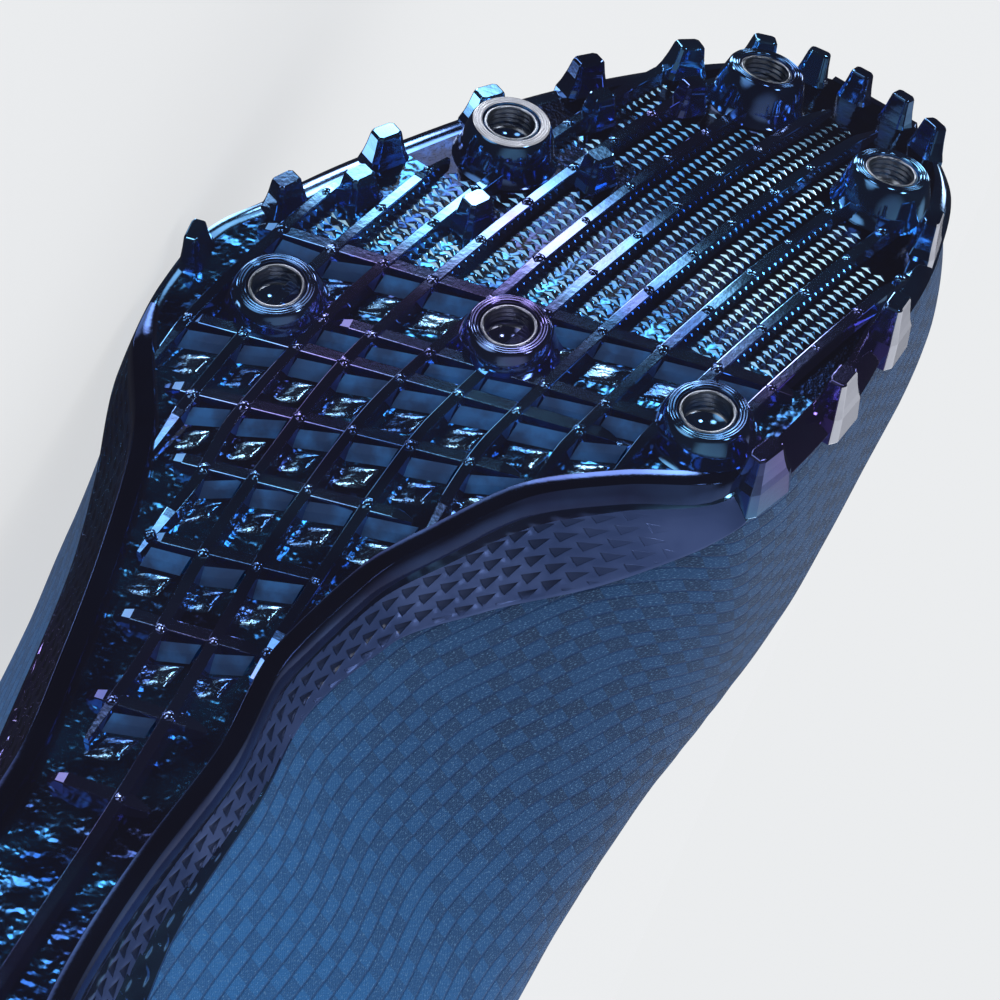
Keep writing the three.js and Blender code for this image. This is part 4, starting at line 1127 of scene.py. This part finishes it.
# The upper: one layer over the last, open at the collar, the throat and the foot bed
upper = {
    "margin": 7.0, "sideColumns": 46, "throatStart": 0.34, "throatEnd": 0.575, "throatTop": 24.0,
    "throatToe": 15.0, "collarEnd": 0.347, "eyeletInset": 5.2, "stayWide": 11.0, "stayToe": 10.5,
    "stayThick": 0.9, "tongueThick": 2.2, "tongueOverlap": 6.5, "tongueRise": 18.0, "tongueRound": 9.0,
    "laceWide": 4.6, "laceThick": 1.2, "laceStart": 0.018, "laceEnd": 0.012, "insoleThick": 2.6,
    "insoleInset": 1.2,
}
collarRows = np.array([
    [-0.05, 1], [0.03, 1], [0.09, 0.93], [0.17, 0.83], [0.24, 0.87], [0.3, 1.02], [0.34, 1.2],
])


def halfThroat(at):
    share = np.clip((at - upper["throatStart"]) / (upper["throatEnd"] - upper["throatStart"]), -0.3, 1)
    return (upper["throatTop"] + (upper["throatToe"] - upper["throatTop"]) * share) / 2


def throatHalf(at):
    end = upper["throatEnd"] * length
    roundLong = upper["throatToe"] / 2 * 0.8
    back = np.clip((end - at * length) / roundLong, 0, 1)
    return halfThroat(at) * np.sqrt(np.clip(1 - (1 - back) ** 2, 0, 1))


# The side's lines, and how far each runs up: to the collar, the throat's edge or the ridge
def upperSide(at, side):
    y, z = sideLine(at, side, 30, 60)
    ridge = last("ridge", at)[:, None] * ballWidth
    arc = arcAlong(y, z)
    stop = arc[:, -1].copy()
    inThroat = (at >= upper["collarEnd"]) & (at < upper["throatEnd"])
    reach = throatHalf(at)[:, None] - np.abs(y - ridge)
    reach[:, :30] = -1
    stop[inThroat] = arcWhere(y, z, reach)[inThroat]
    inCollar = at < upper["collarEnd"]
    collar = smoothCurve(at, collarRows[:, 0], collarRows[:, 1]) * shoe["heelHeight"]
    low = arcWhere(y, z, z - collar[:, None])
    stop[inCollar] = np.minimum(low, stop)[inCollar]
    return y, z, stop, arc


def upperStations():
    start, end = upper["collarEnd"], upper["throatEnd"]
    back = joinSpans((0, 0.05, 20), (0.05, start, 84))
    return np.concatenate([back, joinSpans((start + 0.0002, end, 70), (end, 0.94, 110), (0.94, 1, 24))])


# Creases: along, lean, from side to side, depth
creases = [
    (0.615, 0.1, -0.5, 0.35, 0.45), (0.65, 0.14, -0.4, 0.4, 0.35), (0.69, 0.1, -0.3, 0.3, 0.25),
    (0.3, 0.5, -1.0, -0.3, 0.5), (0.24, 0.7, -1.0, -0.3, 0.4), (0.27, 0.5, 0.45, 1.0, 0.3),
]


def creaseDepth(x, rise, side):
    at = x / length
    depth = np.zeros_like(at)
    for place, lean, low, high, deep in creases:
        across = side * (1 - rise)
        away = (at - place - lean * 0.05 * across) * length / 2.6
        fade = np.clip((across - low) / 0.25, 0, 1) * np.clip((high - across) / 0.25, 0, 1)
        depth += deep * fade * (np.exp(-away ** 2) - 0.35 * np.exp(-(np.abs(away) - 2.2) ** 2))
    return depth


# Each side runs from the turned-in margin to its edge, and the two are joined at the heel and the toe
def makeUpper():
    at = upperStations()
    points, faces, uvs = [], [], []
    ends = {}
    for side in (1, -1):
        y, z, stop, arc = upperSide(at, side)
        lines = evenSteps(y, z, np.zeros(len(at)), stop, upper["sideColumns"])
        grid = sheetGrid(at, lines[:, :, 0], lines[:, :, 1])
        rise = lines[:, :, 2] / np.maximum(arc[:, -1:], 1e-6)
        crease = creaseDepth(grid[:, :, 0], rise, side) * np.sin(np.clip(rise, 0, 1) * math.pi * 0.5)
        grid -= outwards(grid, side) * crease[:, :, None]
        foot, other = grid[:, 0, 1], last("footOut" if side > 0 else "footIn", at) * ballWidth
        inset = np.minimum(upper["margin"], np.abs(foot - other) * 0.3)
        turnedIn = [np.stack([grid[:, 0, 0], foot - side * inset * share, grid[:, 0, 2]], axis=1)[:, None]
                    for share in (1, 0.35)]
        ends[side] = rows = np.concatenate(turnedIn + [grid], axis=1)
        arcs = np.concatenate([-inset[:, None], -inset[:, None] * 0.35, lines[:, :, 2]], axis=1)
        faces.append(gridFaces(len(at), rows.shape[1], sum(len(p) for p in points), flip=side < 0))
        points.append(rows.reshape(-1, 3))
        uvs.append(np.stack([rows[:, :, 0].ravel() / 10, arcs.ravel() / 10 * side], axis=1))
    for end in (0, -1):
        a, b = ends[1][end], ends[-1][end]
        cap = np.stack([a + (b - a) * t for t in np.linspace(0, 1, 9)], axis=0)
        faces.append(gridFaces(9, cap.shape[1], sum(len(p) for p in points), flip=end == 0))
        points.append(cap.reshape(-1, 3))
        uvs.append(np.stack([cap[:, :, 1].ravel() / 10, cap[:, :, 2].ravel() / 10], axis=1))
    points, faces, uvs = np.concatenate(points), np.concatenate(faces), np.concatenate(uvs)
    body = addMesh("upper_body", points, faces, upperCloth, uv=uvs)
    mergeDoubles(body)
    thicken(body, shoe["upperWall"])
    return body


upperBody = makeUpper()
finishPiece(upperBody, "upper", slot="upper")
print("upper made", len(upperBody.data.polygons))


# Points on the instep by station and y, moved outwards by the offset
def instep(at, y, offset=0.0):
    at, y = np.broadcast_arrays(np.asarray(at, float), np.asarray(y, float))

    def surface(at, y):
        ridge = last("ridge", at) * ballWidth
        wide = np.where(y >= ridge, last("wideIn", at), last("wideOut", at)) * ballWidth
        share = np.clip(np.abs((y - ridge) / (wide - ridge)), 0, 0.999)
        full = last("full", at)
        up = last("wideUp", at)
        dome = (1 - share ** full) ** (1 / full)
        return bedZ(at) + (up + (last("top", at) - up) * dome) * shoe["instepHeight"]

    z = surface(at, y)
    dx = (surface(at + 0.003, y) - surface(at - 0.003, y)) / (0.006 * length)
    dy = (surface(at, y + 0.6) - surface(at, y - 0.6)) / 1.2
    normal = np.stack([-dx, -dy, np.ones_like(z)], axis=-1)
    normal /= np.linalg.norm(normal, axis=-1, keepdims=True)
    return np.stack([at * length, y, z], axis=-1) + normal * np.asarray(offset)[..., None]


def sheetOnInstep(name, at, low, high, offset, thick, material, columns=15):
    share = np.linspace(0, 1, columns)[None]
    y = low[:, None] + (high - low)[:, None] * share
    grid = instep(np.repeat(at[:, None], columns, 1), y, offset)
    uv = np.stack([grid[:, :, 0].ravel() / 10, y.ravel() / 10], axis=1)
    obj = addMesh(name, grid.reshape(-1, 3), gridFaces(len(at), columns), material, uv=uv)
    thicken(obj, thick, 1)
    return obj


def ridgeY(at):
    return last("ridge", at) * ballWidth


def makeTongue():
    start = upper["throatStart"] - upper["tongueRise"] / length
    end = upper["throatEnd"] + upper["tongueOverlap"] / length
    at = np.linspace(start, end, 90)
    half = halfThroat(np.clip(at, start, upper["throatEnd"])) + upper["tongueOverlap"]
    tipRound = np.clip(np.minimum(at - start, end - at) * length / upper["tongueRound"], 0.02, 1)
    half = half * np.sqrt(1 - (1 - tipRound) ** 2)
    under = -(shoe["upperWall"] + shoe["pieceGap"] + upper["tongueThick"])
    middleY = ridgeY(at)
    tongue = sheetOnInstep("tongue_pad", at, middleY - half, middleY + half, under, upper["tongueThick"],
                           tongueCloth)
    soften = tongue.modifiers.new("round edge", "BEVEL")
    soften.width, soften.segments, soften.limit_method = 0.0007, 3, "ANGLE"
    return tongue


tongue = makeTongue()
finishPiece(tongue, "tongue", slot="tongue")


# A strip down each side of the throat and a rounded one across its toe
def makeStay():
    start, end = upper["throatStart"] - 0.03, upper["throatEnd"] + 0.002
    at = np.linspace(start, end, 90)
    inner = np.maximum(throatHalf(at), 0) + 0.4
    outer = halfThroat(at) + upper["stayWide"]
    share = np.linspace(0, 1, 9)[None]
    grids = []
    for side in (1, -1):
        y = ridgeY(at)[:, None] + side * (inner[:, None] + (outer - inner)[:, None] * share)
        grids.append(instep(np.repeat(at[:, None], 9, 1), y, shoe["pieceGap"]))
    s = np.linspace(-1, 1, 25)
    reach = halfThroat(end) + upper["stayWide"]
    ahead = (upper["stayToe"] / length) * np.sqrt(np.clip(1 - s ** 4, 0, 1))
    grids.append(np.stack([instep(end + t * ahead, ridgeY(end) + s * reach, shoe["pieceGap"])
                           for t in np.linspace(0, 1, 12)]))
    faces, start = [], 0
    for grid, flip in zip(grids, (False, True, False)):
        faces.append(gridFaces(*grid.shape[:2], start, flip=flip))
        start += grid.shape[0] * grid.shape[1]
    points = np.concatenate([grid.reshape(-1, 3) for grid in grids])
    stay = addMesh("eyestay_film", points, np.concatenate(faces), filmSatin)
    thicken(stay, upper["stayThick"], 1)
    return stay


stay = makeStay()
finishPiece(stay, "eyestay", slot="eyestay")


# Two runs cross between each pair of eyelets, one over the other, and both dip through the holes
def makeLaces():
    first, final = upper["throatStart"] + upper["laceStart"], upper["throatEnd"] - upper["laceEnd"]
    spots = {(p, side): (at, ridgeY(at) + side * (halfThroat(at) + upper["eyeletInset"]))
             for p, at in enumerate(np.linspace(first, final, 5)) for side in (1, -1)}
    lift = shoe["pieceGap"] * 2 + upper["stayThick"] + upper["laceThick"] / 2 + 0.15
    runs = [((4, 1), (4, -1), 0.0)]
    for p in range(4):
        runs += [((p, 1), (p + 1, -1), 0.0), ((p, -1), (p + 1, 1), upper["laceThick"] + 0.25)]
    paths = []
    for a, b, over in runs:
        (atA, yA), (atB, yB) = spots[a], spots[b]
        t = np.linspace(0, 1, 25)
        rise = lift + over * np.exp(-((t - 0.5) / 0.2) ** 2)
        rise = rise - (lift + 2.6) * (np.exp(-(t / 0.05) ** 2) + np.exp(-((1 - t) / 0.05) ** 2))
        paths.append((instep(atA + (atB - atA) * t, yA + (yB - yA) * t, rise), np.ones(len(t))))
    wide = upper["laceWide"] / 1000
    return grow("laces_run", barTree, *joinPaths(paths), Root_Width=wide, Tip_Width=wide,
                Depth=upper["laceThick"] / 1000, Round=0.0004, Material=laceCloth)


laces = makeLaces()
finishPiece(laces, "laces", slot="laces")


def makeInsole():
    at = joinSpans((0.012, 0.06, 12), (0.06, 0.94, 120), (0.94, 0.985, 12))
    inside = shoe["upperWall"] + upper["insoleInset"]
    low, high = last("footOut", at) * ballWidth + inside, last("footIn", at) * ballWidth - inside
    share = np.linspace(0, 1, 17)[None]
    y = low[:, None] + (high - low)[:, None] * share
    top = bedZ(at) + shoe["upperWall"] + shoe["pieceGap"]
    grid = sheetGrid(at, y, np.repeat(top[:, None], 17, 1))
    uv = np.stack([grid[:, :, 0].ravel() / 10, y.ravel() / 10], axis=1)
    insole = addMesh("insole_pad", grid.reshape(-1, 3), gridFaces(len(at), 17), insoleCloth, uv=uv)
    thicken(insole, upper["insoleThick"], 1)
    return insole


insole = makeInsole()
finishPiece(insole, "insole", slot="insole")
print("tongue, eyestay, laces and insole made")

# Pale floor, soft light and the camera at the photo's angle
room = {
    "pale": (0.83, 0.845, 0.86, 1), "floor": (0.175, 0.178, 0.182, 1), "glow": 0.76,
    "gloom": (0.015, 0.017, 0.024), "mirrored": (0.93, 0.97, 1.0), "low": 0.45, "high": 1.45,
    "camera": (-89.035, 176.958, -373.83), "forward": (0.53926, -0.35187, 0.76511),
    "up": (0.57755, -0.50667, -0.64009), "lens": 133.2, "floorHalf": 4.0,
}

# What the plating mirrors: direction, inner and outer half angle in degrees, strength
glints = [
    ((-0.78, -0.53, -0.34), 4, 10, 7.0), ((-0.74, 0.1, -0.66), 3, 12, 5.0), ((0.8, 0.0, 0.5), 18, 42, 0.22),
    ((0.15, 0.77, 0.62), 15, 45, 0.4), ((0.45, -0.68, -0.58), 7, 24, 1.1), ((-0.05, -0.9, -0.43), 3, 9, 4.0),
    ((0.62, 0.74, 0.27), 2, 6, 14.0), ((-0.25, 0.9, 0.35), 3, 9, 3.0), ((-0.62, -0.45, -0.62), 7, 14, 1.5),
    ((0.1, -0.75, 0.65), 2, 7, 9.0), ((-0.95, 0.2, 0.25), 2, 8, 5.0), ((0.3, 0.4, -0.87), 3, 10, 4.0),
    ((-0.25, -0.95, 0.1), 2, 5, 14.0), ((-0.85, -0.2, -0.49), 2, 6, 12.0), ((-0.9, -0.42, 0.1), 2, 5, 10.0),
    ((-0.36, -0.3, -0.88), 2, 6, 10.0), ((-0.35, 0.45, 0.82), 4, 16, 0.35),
]


def addFloor():
    half = room["floorHalf"]
    mesh = bpy.data.meshes.new("floor")
    corners = [(-half, -half, 0), (half, -half, 0), (half, half, 0), (-half, half, 0)]
    mesh.from_pydata(corners, [], [(0, 1, 2, 3)])
    material, _, shader = newMaterial("floorPaper")
    setShader(shader, Base_Color=room["floor"], Roughness=1.0, Specular_IOR_Level=0.0,
              Emission_Color=room["pale"], Emission_Strength=room["glow"])
    mesh.materials.append(material)
    floor = linkObject("floor", mesh)
    floor.visible_glossy = False


def addCamera():
    forward, upward = turn @ np.array(room["forward"]), turn @ np.array(room["up"])
    right = np.cross(forward, upward)
    pose = np.eye(4)
    pose[:3, 0], pose[:3, 1], pose[:3, 2] = right / np.linalg.norm(right), upward, -forward
    pose[:3, 3] = toWorld(np.array(room["camera"]))
    data = bpy.data.cameras.new("camera")
    data.lens, data.sensor_width, data.clip_start, data.clip_end = room["lens"], 36.0, 0.02, 20.0
    camera = linkObject("camera", data)
    camera.matrix_world = Matrix(pose.tolist())
    scene.camera = camera


# Soft light from above for cloth and floor, the glints for what mirrors, and plain paper for the camera
def makeWorld():
    world = bpy.data.worlds.new("studio")
    world.use_nodes = True
    tree = world.node_tree
    place = tree.nodes.new("ShaderNodeTexCoord").outputs["Generated"]
    path = tree.nodes.new("ShaderNodeLightPath")
    total = None
    for direction, narrow, wide, level in glints:
        dot = tree.nodes.new("ShaderNodeVectorMath")
        dot.operation = "DOT_PRODUCT"
        dot.inputs[1].default_value = Vector(direction).normalized()
        tree.links.new(place, dot.inputs[0])
        low, high = math.cos(math.radians(wide)), math.cos(math.radians(narrow))
        patch = spread(tree, dot.outputs["Value"], low, high, smooth=True, stop=level)
        total = patch if total is None else maths(tree, "ADD", total, patch)
    tint = tree.nodes.new("ShaderNodeVectorMath")
    tint.operation = "MULTIPLY_ADD"
    tint.inputs[1].default_value = room["mirrored"]
    tint.inputs[2].default_value = room["gloom"]
    tree.links.new(total, tint.inputs[0])
    above = spread(tree, splitVector(tree, place)[2], -0.2, 1.0, start=room["low"], stop=room["high"])
    colour = mixColours(tree, path.outputs["Is Glossy Ray"], above, tint.outputs[0])
    colour = mixColours(tree, path.outputs["Is Camera Ray"], colour, room["pale"])
    tree.links.new(colour, tree.nodes["Background"].inputs["Color"])
    scene.world = world


addFloor()
addCamera()
makeWorld()
scene.view_settings.view_transform = "Standard"


print("stage, lights and camera made")
